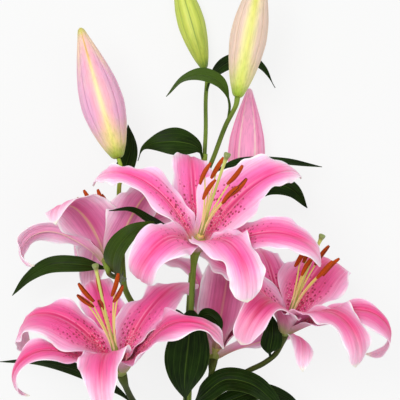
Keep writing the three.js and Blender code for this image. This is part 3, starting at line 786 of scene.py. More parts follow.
class Graph:
    """The nodes of one finish, round one surface shader, with the colour as mixed so far."""

    def __init__(self, name: str, loose: bool = False) -> None:
        """Starts an empty finish.

        Args:
            name: The material's name.
            loose: Whether its patterns follow the object instead of the grain.
        """
        self.material = bpy.data.materials.new(name)
        self.material.use_nodes = True
        self.tree = self.material.node_tree
        self.tree.nodes.clear()
        self.shader = self.tree.nodes.new("ShaderNodeBsdfPrincipled")
        output = self.tree.nodes.new("ShaderNodeOutputMaterial")
        self.tree.links.new(self.shader.outputs[0], output.inputs["Surface"])
        self.grain = self.wire("ShaderNodeTexCoord", {}, "Object") if loose else self._attribute("grain")
        self.shade: Tint = WHITE

    def node(self, kind: str, inputs: dict[Union[str, int], object], **settings: object) -> bpy.types.Node:
        """Adds a node.

        Args:
            kind: Its type.
            inputs: The number, vector, colour or wire of each socket.
            settings: Its properties, set first; stops are a ramp's places and colours.

        Returns:
            The node.
        """
        node = self.tree.nodes.new(kind)
        for key, value in settings.items():
            if key == "stops":
                self._set_stops(node.color_ramp, value)
            else:
                setattr(node, key, value)
        for key, value in inputs.items():
            self._feed(node.inputs[key], value)
        return node

    def wire(
        self,
        kind: str,
        inputs: dict[Union[str, int], object],
        output: Union[str, int] = 0,
        **settings: object,
    ) -> Wire:
        """Adds a node and starts from one of its outputs."""
        return Wire(self, self.node(kind, inputs, **settings).outputs[output])

    @staticmethod
    def _set_stops(ramp: bpy.types.ColorRamp, stops: Sequence[tuple[float, Colour]]) -> None:
        """Places a ramp's colours.

        Args:
            ramp: The ramp.
            stops: The place and colour of each.
        """
        while len(ramp.elements) < len(stops):
            ramp.elements.new(1.0)
        for element, (position, value) in zip(ramp.elements, stops):
            element.position = position
            element.color = value

    def _feed(self, socket: bpy.types.NodeSocket, value: object) -> None:
        """Links a wire to a socket, or sets its value.

        Args:
            socket: The input.
            value: The wire or the value.
        """
        if isinstance(value, Wire):
            self.tree.links.new(value.socket, socket)
        else:
            socket.default_value = value

    def math(self, operation: str, *values: Value) -> Wire:
        """Works out a number from others."""
        return self.wire("ShaderNodeMath", dict(enumerate(values)), operation=operation)

    def _attribute(self, name: str) -> Wire:
        """A point attribute's vector."""
        return self.wire("ShaderNodeAttribute", {}, "Vector", attribute_name=name)

    def _parts(self, vector: Wire) -> tuple[Wire, Wire, Wire]:
        """The three numbers of a vector."""
        outputs = self.node("ShaderNodeSeparateXYZ", {0: vector}).outputs
        return Wire(self, outputs[0]), Wire(self, outputs[1]), Wire(self, outputs[2])

    def form(self) -> tuple[Wire, Wire, Wire]:
        """Where a point lies on its piece: the mark or the place across, the place along, and a third."""
        return self._parts(self._attribute("form"))

    def _stretched(self, scale: Triple) -> Wire:
        """The grain with each axis scaled."""
        return self.wire("ShaderNodeVectorMath", {0: self.grain, 1: scale}, operation="MULTIPLY")

    def noise(self, scale: Triple, detail: float = 2.0) -> Wire:
        """Cloudy noise in the grain, 0 to 1, with its own scale on each axis."""
        inputs = {"Vector": self._stretched(scale), "Scale": 1.0, "Detail": detail}
        return self.wire("ShaderNodeTexNoise", inputs)

    def dots(self, scale: Triple) -> tuple[Wire, Wire]:
        """Dots scattered in the grain.

        Args:
            scale: Dots for each unit of an axis.

        Returns:
            The distance from the nearest dot, and a chance number of that dot.
        """
        inputs = {"Vector": self._stretched(scale), "Scale": 1.0, "Randomness": 0.9}
        outputs = self.node("ShaderNodeTexVoronoi", inputs, voronoi_dimensions="2D").outputs
        chance, _, _ = self._parts(Wire(self, outputs["Color"]))
        return Wire(self, outputs["Distance"]), chance

    def mix(self, share: Value, first: Tint, second: Tint, blend: str = "MIX") -> Wire:
        """Blends two colours by a share."""
        inputs = {0: share, 6: first, 7: second}
        return self.wire("ShaderNodeMix", inputs, 2, data_type="RGBA", blend_type=blend)

    def base(self, share: Value, first: Tint, second: Tint) -> None:
        """Starts the colour as a blend of two."""
        self.shade = self.mix(share, first, second)

    def coat(self, share: Value, tint: Tint, blend: str = "MIX") -> None:
        """Lays a colour over the colour so far, by a share."""
        self.shade = self.mix(share, self.shade, tint, blend)

    def grey(self, streak: Wire) -> None:
        """Greys the colour a little along its fine streaks."""
        self.coat(1.0, self.wire("ShaderNodeValToRGB", {0: streak}, stops=GREY_STREAK), "MULTIPLY")

    def raise_by(self, height: Wire, depth: float) -> None:
        """Embosses the surface by a height from 0 to 1, where 1 is the depth in millimetres."""
        inputs = {"Height": height, "Strength": 1.0, "Distance": depth * MILLIMETRE}
        self._feed(self.shader.inputs["Normal"], self.wire("ShaderNodeBump", inputs))

    def finish(self, **sockets: object) -> Material:
        """Feeds the surface shader and hands over the material.

        Args:
            sockets: A value for each socket, with the name's spaces as underscores.

        Returns:
            The finished material.
        """
        for key, value in {"Base_Color": self.shade, **sockets}.items():
            self._feed(self.shader.inputs[key.replace("_", " ")], value)
        return self.material


PETAL_FLESH = {
    "Subsurface_Weight": 0.22,
    "Subsurface_Radius": (1.0, 0.45, 0.5),
    "Subsurface_Scale": 0.0015,
    "Sheen_Weight": 0.08,
}


@dataclass(frozen=True)
class PetalFace:
    """The inner face of a tepal: hot pink down the middle, pale at the edge, freckled near the base."""

    heart: Colour = colour(242, 64, 142)
    body: Colour = colour(250, 114, 184)
    margin: Colour = colour(250, 204, 234)
    deep: Colour = colour(240, 176, 208)
    rim: Colour = colour(255, 246, 249)
    throat: Colour = colour(244, 216, 176)
    flush: Colour = colour(244, 100, 132)
    groove: Colour = colour(206, 26, 100)
    vein: Colour = colour(254, 186, 218)
    freckle: Colour = colour(164, 8, 56)
    wart: Colour = colour(255, 226, 228)
    tip: Colour = colour(240, 240, 220)

    def _freckles(self, graph: Graph, side: Wire, along: Wire, cloud: Wire) -> tuple[Wire, Wire, Wire]:
        """Dark freckles and pale warts near the base.

        Args:
            graph: The finish.
            side: How far from the midrib, 0 to 1.
            along: How far from the base, 0 to 1.
            cloud: Soft noise that breaks up their limits.

        Returns:
            Where the warts are, where the freckles are, and how far both stand out.
        """
        distance, chance = graph.dots((0.29, 0.23, 1.0))
        zone = along.rise(0.09, 0.16) * (1 - (along + cloud * 0.16).rise(0.46, 0.66))
        zone = zone * side.rise(0.04, 0.1) * (1 - (side + cloud * 0.2).rise(0.6, 0.85))
        size = 1 - along.rise(0.3, 0.6) * 0.35
        sparse = 0.15 + along.rise(0.2, 0.55) * 0.5
        freckle = (1 - (distance / size).rise(0.18, 0.3)) * (chance - sparse).rise(0.0, 0.05) * zone
        fine, _ = graph.dots((0.6, 0.42, 1.0))
        wart = (1 - fine.rise(0.14, 0.3)) * along.rise(0.06, 0.12) * (1 - along.rise(0.2, 0.36))
        wart = wart * (1 - side.rise(0.5, 0.8))
        return wart, freckle, (1 - distance.rise(0.05, 0.34)) * zone + wart * 0.5

    def material(self) -> Material:
        """Builds the finish.

        Returns:
            The material.
        """
        graph = Graph("petal_face")
        across, along, depth = graph.form()
        side = abs(across)
        streak = graph.noise((1.3, 0.05, 1.0), 3.0)
        band = graph.noise((0.45, 0.012, 1.0), 3.0)
        cloud = graph.noise((0.09, 0.05, 1.0))
        spread = side + (cloud - 0.5) * 0.25 + (band - 0.5) * 0.3
        graph.base(spread.rise(-0.05, 0.42), self.heart, self.body)
        graph.coat((1 - band.rise(0.3, 0.48)) * (1 - side * 0.7) * 0.4, self.groove)
        graph.coat(0.65 * depth, self.deep, "MULTIPLY")
        pale = (spread - 0.08 * depth).rise(0.38, 0.98) * (0.98 - depth * 0.1)
        reach = along + (band - 0.5) * 0.2
        edge = graph.mix((reach + side * 0.15).rise(0.6, 1.1) * 0.6, self.margin, self.rim)
        graph.coat(pale, edge)
        graph.coat(reach.rise(0.64, 1.03) * 0.88, edge)
        graph.coat(side.near(0.1, 0.05) * along.near(0.35, 0.4) * 0.5, self.vein)
        graph.coat(side.near(0.14, 0.2) * along.near(0.2, 0.25) * 0.5, self.flush)
        graph.coat(side.near(0.0, 0.05) * along.near(0.4, 0.45) * 0.75, self.groove)
        graph.coat(0.4 * depth * (1 - pale * 0.5), self.deep, "MULTIPLY")
        graph.coat((1 - along.rise(0.03, 0.13)) * 0.8, self.throat)
        wart, freckle, relief = self._freckles(graph, side, along, cloud)
        graph.coat(wart * 0.6, self.wart)
        graph.coat(freckle * 0.9, self.freckle)
        graph.grey(streak)
        patch = graph.noise((0.02, 0.045, 1.0))
        rim = (side + patch * 0.05 + along * 0.05).rise(0.96, 1.03)
        rim = rim * along.rise(0.1, 0.3) * patch.rise(0.3, 0.6)
        graph.coat(rim * 0.75, self.rim)
        graph.coat(along.rise(0.95, 0.99) * 0.8, self.tip)
        graph.raise_by(streak * 0.2 + band * 0.3 + relief * 0.5, 0.9)
        return graph.finish(Roughness=0.42 + streak * 0.14, **PETAL_FLESH)


@dataclass(frozen=True)
class PetalBack:
    """The outer face of a tepal: mauve, with a pale rib that turns green at the base."""

    body: Colour = colour(234, 142, 192)
    middle: Colour = colour(208, 90, 148)
    line: Colour = colour(176, 60, 124)
    margin: Colour = colour(250, 214, 234)
    deep: Colour = colour(226, 148, 186)
    rim: Colour = colour(255, 248, 251)
    rib: Colour = colour(226, 190, 140)
    heel: Colour = colour(182, 114, 134)
    base: Colour = colour(132, 132, 54)
    tip: Colour = colour(236, 232, 208)

    def material(self) -> Material:
        """Builds the finish.

        Returns:
            The material.
        """
        graph = Graph("petal_back")
        across, along, depth = graph.form()
        side = abs(across)
        streak = graph.noise((1.1, 0.04, 1.0), 3.0)
        band = graph.noise((0.5, 0.012, 1.0), 3.0)
        cloud = graph.noise((0.08, 0.05, 1.0))
        spread = side + (cloud - 0.5) * 0.3 + (band - 0.5) * 0.35
        graph.base(spread.rise(0.0, 0.55), self.middle, self.body)
        graph.coat((1 - band.rise(0.3, 0.5)) * (1 - side * 0.6) * 0.25, self.line)
        graph.coat(0.65 * depth, self.deep, "MULTIPLY")
        graph.coat(spread.rise(0.42, 0.92), self.margin)
        graph.coat((along + (streak - 0.5) * 0.2).rise(0.55, 0.95) * 0.8, self.margin)
        rib = (side / (1.15 - along)).near(0.0, 0.1) * (1 - along.rise(0.55, 0.85))
        graph.coat(rib * (0.8 - 0.6 * depth), self.rib)
        graph.coat(0.12 * depth, self.deep, "MULTIPLY")
        graph.coat(0 - depth, self.margin)
        strength = 0.6 + 0.3 * depth.rise(0.15, 0.6)
        graph.coat((1 - (along - side * 0.1).rise(0.02, 0.26)) * strength, self.heel)
        green = (1 - (along + side * 0.08).rise(0.02, 0.19)) * strength
        graph.coat(green, self.base)
        graph.grey(streak)
        patch = graph.noise((0.02, 0.045, 1.0))
        rim = (side + patch * 0.06).rise(0.92, 1.0) * along.rise(0.1, 0.3)
        graph.coat(rim * 0.8, self.rim)
        graph.coat(along.rise(0.95, 0.99) * 0.8, self.tip)
        graph.raise_by(streak * 0.25 + band * 0.35 + rib * 0.4, 0.9)
        return graph.finish(Roughness=0.46 + streak * 0.14, **PETAL_FLESH)


@dataclass(frozen=True)
class Fibre:
    """A streaked part of a bloom whose colour changes from its foot to its end."""

    name: str
    foot: Colour
    end: Colour
    grain: Triple
    detail: float
    waver: float
    limits: tuple[float, float]
    relief: float
    roughness: float
    depth: float = 0.0

    def material(self) -> Material:
        """Builds the finish.

        Returns:
            The material.
        """
        graph = Graph(self.name)
        _, along, _ = graph.form()
        streak = graph.noise(self.grain, self.detail)
        graph.base((along + (streak - 0.5) * self.waver).rise(*self.limits), self.foot, self.end)
        graph.raise_by(streak, self.relief)
        return graph.finish(
            Roughness=self.roughness + streak * 0.15, Subsurface_Weight=self.depth, Subsurface_Scale=0.001
        )


# The green seat of a bloom, and the thread of a stamen.
RECEPTACLE = Fibre(
    "receptacle", colour(112, 124, 40), colour(176, 172, 92), (0.9, 0.9, 0.1), 3.0, waver=0.5,
    limits=(0.0, 0.8), relief=0.4, roughness=0.45,
)
FILAMENT = Fibre(
    "filament", colour(246, 236, 176), colour(230, 222, 120), (1.5, 1.5, 0.12), 2.0, waver=0.4,
    limits=(0.1, 0.8), relief=0.15, roughness=0.35, depth=0.15,
)


@dataclass(frozen=True)
class Anther:
    """Rust-coloured pollen, with painted shade in dark brown in one furrow and at the ends."""

    pollen: Colour = colour(150, 50, 4)
    bright: Colour = colour(200, 84, 8)
    # Painted shade, laid in one furrow and at the ends of each anther.
    furrow: Colour = colour(66, 22, 8)

    def material(self) -> Material:
        """Builds the finish.

        Returns:
            The material.
        """
        graph = Graph("anther")
        mark, _, _ = graph.form()
        dust = graph.noise((4.0, 4.0, 4.0), 4.0)
        patch = graph.noise((0.35, 0.35, 0.25))
        graph.base(dust.rise(0.35, 0.7), self.pollen, self.bright)
        # Painted shade: dark brown in one furrow and at the ends, where the form's mark is high.
        graph.coat((mark + (patch - 0.5) * 1.1).rise(0.4, 0.8), self.furrow)
        graph.raise_by(dust, 0.25)
        return graph.finish(Roughness=0.9, Sheen_Weight=0.05, Specular_IOR_Level=0.2)


@dataclass(frozen=True)
class Pistil:
    """Green ovary, paler style and grey green sticky stigma."""

    ovary: Colour = colour(150, 176, 80)
    style: Colour = colour(202, 212, 112)
    stigma: Colour = colour(128, 142, 72)

    def material(self) -> Material:
        """Builds the finish.

        Returns:
            The material.
        """
        graph = Graph("pistil")
        _, along, _ = graph.form()
        streak = graph.noise((1.2, 1.2, 0.1), 3.0)
        graph.base(along.rise(0.12, 0.35), self.ovary, self.style)
        graph.coat((along + (streak - 0.5) * 0.04).rise(0.92, 0.96), self.stigma)
        graph.raise_by(streak, 0.3)
        return graph.finish(Roughness=0.32 + streak * 0.2, Coat_Weight=0.15)


@dataclass(frozen=True)
class BudSkin:
    """The outside of a bud: its body, its keels and the seams between its tepals."""

    body: Colour
    flush: Colour
    keel: Colour
    ripe: Colour
    seam: Colour
    heel: Colour
    base: Colour
    tip: Colour
    keel_width: float
    keel_middle: float = 0.0
    glow: float = 0.0

    def material(self, name: str) -> Material:
        """Builds the finish.

        Args:
            name: The material's name.

        Returns:
            The material.
        """
        graph = Graph(name)
        mark, along, _ = graph.form()
        streak = graph.noise((0.7, 0.7, 0.03), 4.0)
        cloud = graph.noise((0.06, 0.06, 0.03))
        spread = mark + (streak - 0.5) * 0.15
        graph.base(spread.near(self.keel_middle + 0.26, 0.3) * 0.8, self.body, self.flush)
        graph.coat(cloud.rise(0.45, 0.75) * 0.2, self.keel)
        graph.coat(mark.near(self.keel_middle, 0.36) * self.glow, self.keel)
        graph.coat((along + mark * 0.3).rise(0.8, 1.15) * self.glow * 1.6, self.keel)
        width = (abs(mark - self.keel_middle) / (1.6 - along * 0.9)).near(0.0, self.keel_width)
        graph.coat(width * 0.85, self.keel)
        graph.coat(width * along.rise(0.6, 0.85) * 0.85, self.ripe)
        seam = mark.near(0.72, 0.05) * along.rise(0.02, 0.15)
        graph.coat(seam * 0.6, self.seam)
        foot = along + (streak - 0.5) * 0.12 + mark * 0.1
        graph.coat((1 - foot.rise(0.06, 0.4)) * 0.85, self.heel)
        graph.coat((1 - (along + (streak - 0.5) * 0.05).rise(0.0, 0.12)) * 0.9, self.base)
        graph.coat((along + (streak - 0.5) * 0.05).rise(0.9, 1.0) * 0.8, self.tip)
        graph.grey(streak)
        graph.raise_by(streak * 0.5 + (1 - seam) * 0.5, 0.5)
        return graph.finish(
            Roughness=0.4 + streak * 0.16, Subsurface_Weight=0.15, Subsurface_Radius=(1.0, 0.5, 0.5),
            Subsurface_Scale=0.002,
        )


BUD_SKINS = {
    BudKind.PINK: BudSkin(
        body=colour(234, 174, 206), flush=colour(250, 172, 190), keel=colour(250, 226, 160),
        ripe=colour(214, 158, 54), seam=colour(190, 116, 156), heel=colour(226, 228, 112),
        base=colour(132, 172, 30), tip=colour(190, 194, 74), keel_width=0.15, glow=0.4,
    ),
    BudKind.ROSE: BudSkin(
        body=colour(246, 158, 200), flush=colour(250, 134, 184), keel=colour(254, 226, 214),
        ripe=colour(250, 190, 200), seam=colour(206, 104, 156), heel=colour(236, 214, 190),
        base=colour(170, 190, 70), tip=colour(244, 190, 206), keel_width=0.07, keel_middle=0.42,
    ),
    BudKind.PALE: BudSkin(
        body=colour(232, 204, 184), flush=colour(240, 220, 188), keel=colour(224, 226, 108),
        ripe=colour(222, 222, 64), seam=colour(206, 178, 140), heel=colour(206, 222, 92),
        base=colour(140, 176, 30), tip=colour(232, 230, 110), keel_width=0.42,
    ),
    BudKind.GREEN: BudSkin(
        body=colour(188, 204, 78), flush=colour(212, 222, 102), keel=colour(104, 134, 30),
        ripe=colour(134, 160, 44), seam=colour(118, 146, 40), heel=colour(158, 178, 52),
        base=colour(92, 126, 16), tip=colour(170, 190, 70), keel_width=0.05,
    ),
}


@dataclass(frozen=True)
class LeafFace:
    """One face of the leaves, with parallel veins that meet at the tip."""

    name: str
    body: Colour
    light: Colour
    young: Colour
    vein: Colour
    gloss: float
    roughness: float

    def material(self) -> Material:
        """Builds the finish.

        Returns:
            The material.
        """
        graph = Graph(self.name)
        across, along, young = graph.form()
        cloud = graph.noise((0.12, 0.05, 1.0), 3.0)
        streak = graph.noise((1.6, 0.05, 1.0), 3.0)
        graph.base((cloud * 0.5 + streak * 0.5).rise(0.36, 0.62), self.body, self.light)
        graph.coat(young * (0.4 + cloud * 0.6), self.young)
        spacing = graph.math("PINGPONG", across * 3.5, 0.5)
        veins = spacing.near(0.0, 0.13)
        midrib = abs(across).near(0.0, 0.07)
        graph.coat(veins * 0.13, self.vein)
        graph.coat(midrib * (1 - along * 0.6) * 0.55, self.vein)
        graph.coat(abs(across).rise(0.95, 1.0) * 0.4, self.vein)
        graph.coat((1 - along.rise(0.0, 0.12)) * 0.7, self.vein)
        graph.raise_by(streak * 0.25 + (1 - veins) * 0.4 + (1 - midrib) * 0.35, 0.35)
        return graph.finish(Roughness=self.roughness + streak * 0.14, Specular_IOR_Level=self.gloss)


LEAF_TOP = LeafFace(
    "leaf_top", colour(10, 24, 2), colour(26, 48, 6), colour(78, 104, 34), colour(84, 112, 40),
    gloss=0.08, roughness=0.38,
)
LEAF_UNDERSIDE = LeafFace(
    "leaf_underside", colour(64, 82, 36), colour(86, 104, 50), colour(104, 122, 62), colour(126, 140, 82),
    gloss=0.2, roughness=0.5,
)


@dataclass(frozen=True)
class StemSkin:
    """The stem and its stalks: fibrous green, yellower under the blooms."""

    body: Colour = colour(68, 90, 26)
    light: Colour = colour(116, 138, 52)
    dark: Colour = colour(44, 58, 20)
    fresh: Colour = colour(158, 184, 66)
    cut: Colour = colour(206, 212, 160)
    freshness: float = 0.3

    def material(self, name: str) -> Material:
        """Builds the finish.

        Args:
            name: The material's name.

        Returns:
            The material.
        """
        graph = Graph(name)
        mark, along, _ = graph.form()
        streak = graph.noise((1.4, 1.4, 0.05), 4.0)
        cloud = graph.noise((0.12, 0.12, 0.03))
        speck = graph.noise((2.2, 2.2, 0.9))
        graph.base((cloud * 0.6 + streak * 0.4).rise(0.36, 0.64), self.body, self.light)
        graph.coat((along + (streak - 0.5) * 0.2).rise(0.7, 0.95) * self.freshness, self.fresh)
        graph.coat(streak.rise(0.55, 0.75) * 0.4, self.dark)
        graph.coat(speck.rise(0.66, 0.74) * 0.35, self.dark)
        graph.coat(mark, self.cut)
        graph.raise_by(streak * 0.7 + speck * 0.3, 0.35)
        return graph.finish(Roughness=0.5 + streak * 0.2, Specular_IOR_Level=0.2)


@dataclass(frozen=True)
class TableTop:
    """The pale matt surface under the lily."""

    body: Colour = colour(94, 95, 94)
    shade: Colour = colour(91, 92, 91)
    glow: float = 0.82

    def material(self) -> Material:
        """Builds the finish.

        Returns:
            The material.
        """
        graph = Graph("table_top", loose=True)
        graph.base(graph.noise((1.5, 1.5, 1.5)), self.body, self.shade)
        return graph.finish(
            Roughness=0.9, Specular_IOR_Level=0.1, Emission_Color=WHITE, Emission_Strength=self.glow
        )


class Finishes:
    """Every finish of the lily, each built once."""

    def __init__(self) -> None:
        """Builds them."""
        self.petal_face = PetalFace().material()
        self.petal_back = PetalBack().material()
        self.receptacle = RECEPTACLE.material()
        self.filament = FILAMENT.material()
        self.anther = Anther().material()
        self.pistil = Pistil().material()
        self.stem = StemSkin().material("stem_skin")
        dark = StemSkin(colour(34, 42, 5), colour(62, 70, 18), freshness=0.06).material("dark_stem_skin")
        young = StemSkin(freshness=0.85).material("young_stem_skin")
        self.stalks = {"shoot": young, "lower_left": dark, "lower_right": dark, "back_centre": dark}
        self.leaf_top = LEAF_TOP.material()
        self.leaf_underside = LEAF_UNDERSIDE.material()
        self.buds = {kind: skin.material(f"bud_{kind.value}") for kind, skin in BUD_SKINS.items()}


@dataclass(frozen=True)
class BloomAxes:
    """A bloom's base and its directions: forward along the axis, right, and back."""

    base: Vector
    forward: Vector
    right: Vector
    back: Vector

    @staticmethod
    def of(plan: BloomPlan) -> "BloomAxes":
        """Works them out from a plan.

        Args:
            plan: The bloom.

        Returns:
            Its axes.
        """
        forward = Vector(plan.axis).normalized()
        right = (Vector((1, 0, 0)) - forward * forward.x).normalized()
        return BloomAxes(Vector(plan.base), forward, right, forward.cross(right))

    def outward(self, bearing: float) -> Vector:
        """The direction away from the axis at a bearing."""
        angle = radians(bearing)
        return self.right * cos(angle) + self.back * sin(angle)


@dataclass(frozen=True)
class Tepal:
    """One tepal: a cupped, grooved and ruffled blade on a curling midrib.

    It starts as part of a tube round the axis and flattens. Places along and across it are shares.
    """

    plan: TepalPlan
    axes: BloomAxes
    depth: float
    seed: float
    rows: int = 64
    columns: int = 28
    substeps: int = 3
    claw_height: float = 3.0
    claw_fall: float = 1.5
    blade_from: float = 0.5
    blade_until: float = 0.8
    full_at: float = 0.27
    full_reach: float = 0.16
    nip_at: float = 0.66
    nip_reach: float = 0.13
    tip_share: float = 0.985
    round_from: float = 0.93
    narrowest: float = 0.3
    cup_at_base: float = 0.42
    cup_at_tip: float = -0.12
    tube_until: float = 0.12
    tube_gone: float = 0.36
    tube_turn: float = 1.25
    groove: float = 1.3
    groove_width: float = 0.17
    ridge: float = 0.4
    ridge_at: float = 0.26
    ridge_width: float = 0.1
    ruffle_lag: float = 1.6
    scallop: float = 2.2
    scallops: float = 2.3
    frill_drift: float = 0.04
    frill_drifts: float = 9.0
    early: float = 1.6
    thickest: float = 1.7
    edge_share: float = 0.28
    tip_wall: float = 0.35

    def _directions(self, t: float) -> tuple[Vector, Vector, Vector]:
        """The blade's own directions at a share of its length.

        Args:
            t: The share.

        Returns:
            Along the midrib, to its inner face, and across it.
        """
        plan, axes = self.plan, self.axes
        slope = -3 * plan.rise + 4 * plan.spread - plan.tip
        curl = 2 * plan.rise - 4 * plan.spread + 2 * plan.tip
        lean = radians(plan.rise + slope * t + curl * t * t)
        outward = axes.outward(plan.bearing + plan.bend * t * t)
        along = axes.forward * cos(lean) + outward * sin(lean)
        inner = axes.forward * sin(lean) - outward * cos(lean)
        return along, inner, along.cross(inner)

    def _midrib(self) -> list[Vector]:
        """Follows the lean angles outwards from the tepal's foot.

        Returns:
            The midrib's places, one for each row.
        """
        plan, axes = self.plan, self.axes
        radius = WHORL_FORMS[plan.whorl].radius
        at = axes.base + axes.forward * self.claw_height + axes.outward(plan.bearing) * radius
        count = self.rows * self.substeps
        places = [at.copy()]
        for step in range(count):
            at = at + self._directions((step + 0.5) / count)[0] * (plan.length / count)
            if (step + 1) % self.substeps == 0:
                places.append(at.copy())
        return places

    def _half_width(self, t: float) -> float:
        """Half the width when laid flat: a narrow claw, widest halfway, and a blunt tip.

        Args:
            t: The share of the length.

        Returns:
            The width in millimetres.
        """
        form = WHORL_FORMS[self.plan.whorl]
        end_taper = form.tip_taper * self.plan.point
        taper = form.taper + (end_taper - form.taper) * rise(t, self.blade_from, self.blade_until)
        body = (1 - form.claw) * sin(pi * min(t, self.tip_share)) ** taper
        claw = form.claw * (1 - t) ** self.claw_fall
        share = (body + claw) / (1 - form.claw + form.claw * 0.5**self.claw_fall)
        share *= 1 + self.plan.full * bump(t, self.full_at, self.full_reach)
        past = max(0.0, (t - self.round_from) / (1 - self.round_from))
        blunt = sqrt(max(0.0, 1 - past * past))
        return max(self.narrowest, self.plan.width / 2 * share * blunt)

    def _half_at(self, t: float, x: float, radius: float, tube: float) -> float:
        """Half the width on one side of the midrib, held in where the tepals form a tube.

        Args:
            t: The share of the length.
            x: The share across, over 0 on the clockwise side.
            radius: The distance from the bloom's axis.
            tube: How far it follows the tube, 0 to 1.

        Returns:
            The width in millimetres.
        """
        half = self._half_width(t)
        narrow = (half**-4 + (self.tube_turn * radius) ** -4) ** -0.25
        half += (narrow - half) * tube
        half *= 1 + copysign(1, x) * self.plan.lopsided
        if x > 0:
            half *= 1 - self.plan.nip * bump(t, self.nip_at, self.nip_reach)
        return half

    def _ruffle(self, t: float, x: float, swell: float) -> float:
        """How far the long waves and the short frills lift the blade.

        Args:
            t: The share of the length.
            x: The share across.
            swell: 1 halfway along and 0 at both ends.

        Returns:
            The lift in millimetres.
        """
        form, edge = WHORL_FORMS[self.plan.whorl], abs(x)
        phase = radians(self.plan.bearing) + self.ruffle_lag * rise(x, -0.2, 0.2)
        wave = sin(tau * form.waves * t + phase)
        drift = self.frill_drift * sin(self.frill_drifts * t + self.seed)
        frill = sin(tau * form.frills * (t + drift) + phase * 3 + self.seed)
        flutter = frill * edge**4 * min(1.0, self.early * swell)
        return (form.ruffle * wave * edge**2.5 * swell + form.frill * flutter) * self.plan.wavy

    def _skin(self, midrib: list[Vector], t: float, x: float) -> Skin:
        """One point of the blade's middle sheet.

        Args:
            midrib: The midrib's places.
            t: The share of the length.
            x: The share across.

        Returns:
            The point.
        """
        plan, form = self.plan, WHORL_FORMS[self.plan.whorl]
        _, inner, across = self._directions(t)
        middle = midrib[round(t * self.rows)]
        away = middle - self.axes.base
        radius = (away - self.axes.forward * away.dot(self.axes.forward)).length
        tube = 1 - rise(t, self.tube_until, self.tube_gone)
        half = self._half_at(t, x, radius, tube)
        swell, edge = sin(pi * t), abs(x)
        scallop = sin(tau * self.scallops * t + self.seed + 2 * x) * edge**3 * swell * plan.wavy
        side = copysign(1, x) * (edge * half + self.scallop * scallop)
        turn = side / radius
        cup = (self.cup_at_base * (1 - t) ** 3 + self.cup_at_tip * t) * half * x * x * (1 - tube)
        cup += radius * (1 - cos(turn)) * tube
        reach = side + (radius * sin(turn) - side) * tube
        depth = sqrt(max(0.0, swell))
        groove = -self.groove * bump(x, 0.0, self.groove_width) * depth
        ridge = self.ridge * bump(edge, self.ridge_at, self.ridge_width) * depth
        set_back = form.set_back * sin(pi * min(1, self.early * t)) ** 2
        lift = cup + self._ruffle(t, x, swell) + groove + ridge - set_back
        place = pressed(middle + across * reach + inner * lift)
        return Skin(place, (x, t, self.depth), (side + 3 * self.seed, t * plan.length, self.seed))

    def _thickness(self, t: float, x: float) -> float:
        """The share of the greatest thickness: that of a ribbed blade, with a firm tip."""
        return min(1.0, ribbed(t, x, self.edge_share) + self.tip_wall * rise(t, self.round_from, 1.0))

    def build(self, face: Material, back: Material) -> Piece:
        """Models the tepal.

        Args:
            face: The finish of its inner face.
            back: The finish of its outer face.

        Returns:
            The tepal.
        """
        midrib = self._midrib()
        blade = new_sheet(
            "tepal", self.columns, self.rows, (face, back), lambda t, x: self._skin(midrib, t, x)
        )
        thicken(blade, self.thickest, self._thickness)
        return blade


@dataclass(frozen=True)
class AntherForm:
    """The one anther that the others are copied from: two pollen sacs, bowed lengthways."""

    length: float = 20.0
    radius: float = 1.9
    bow: float = 1.1
    bluntness: float = 0.38
    fullness: float = 1.06
    furrow: float = 0.26
    furrow_width: float = 0.3
    shade_width: float = 0.35
    dark_from: float = 0.9
    end_shade: float = 0.4
    bow_back: float = 0.6
    end_cut: float = 0.05
    stations: int = 12
    rings: int = 22
    sides: int = 16

    def _lobes(self, angle: float, share: float) -> float:
        """Two pollen sacs with a furrow between them, open on both sides."""
        return self.fullness - self.furrow * bump(sin(angle), 0.0, self.furrow_width)

    def _shade(self, angle: float, share: float) -> float:
        """Painted shade: dark in one furrow and at the ends."""
        furrow = bump(sin(angle), 0.0, self.shade_width) if cos(angle) < 0 else 0.0
        return min(1.0, furrow + rise(abs(2 * share - 1), self.dark_from, 1.0) * self.end_shade)

    def build(self, finish: Material) -> Piece:
        """Models the anther, upright at the scene's zero point.

        Args:
            finish: Its pollen.

        Returns:
            The anther.
        """
        bowed = [
            Vector((self.bow * (4 * s * (1 - s) - self.bow_back), 0, (2 * s - 1) * self.length / 2))
            for s in steps(self.stations)
        ]
        open_share = 1 - 2 * self.end_cut
        rings = [
            (s, self.radius * sin(pi * (self.end_cut + open_share * s)) ** self.bluntness)
            for s in steps(self.rings)
        ]
        anther = new_tube("anther", Line(bowed), rings, self.sides, finish, self._lobes, self._shade)
        anther.data.transform(Matrix.Translation(-DRAWING_ORIGIN * MILLIMETRE))
        return anther


# The throat's radius as a share of its greatest, and the pistil's in millimetres, along each.
THROAT_PROFILE = ((0.0, 0.9), (0.1, 1.0), (0.6, 0.95), (0.9, 0.8), (1.0, 0.5))
PISTIL_PROFILE = (
    (0.0, 2.2), (0.03, 2.6), (0.08, 2.8), (0.15, 2.75), (0.19, 2.3), (0.22, 1.6), (0.26, 1.2),
    (0.4, 1.1), (0.5, 1.1), (0.6, 1.12), (0.7, 1.15), (0.8, 1.2), (0.88, 1.3), (0.92, 1.6),
    (0.945, 1.9), (0.965, 2.4), (0.98, 2.6), (0.99, 2.4), (0.996, 1.7), (1.0, 0.9),
)


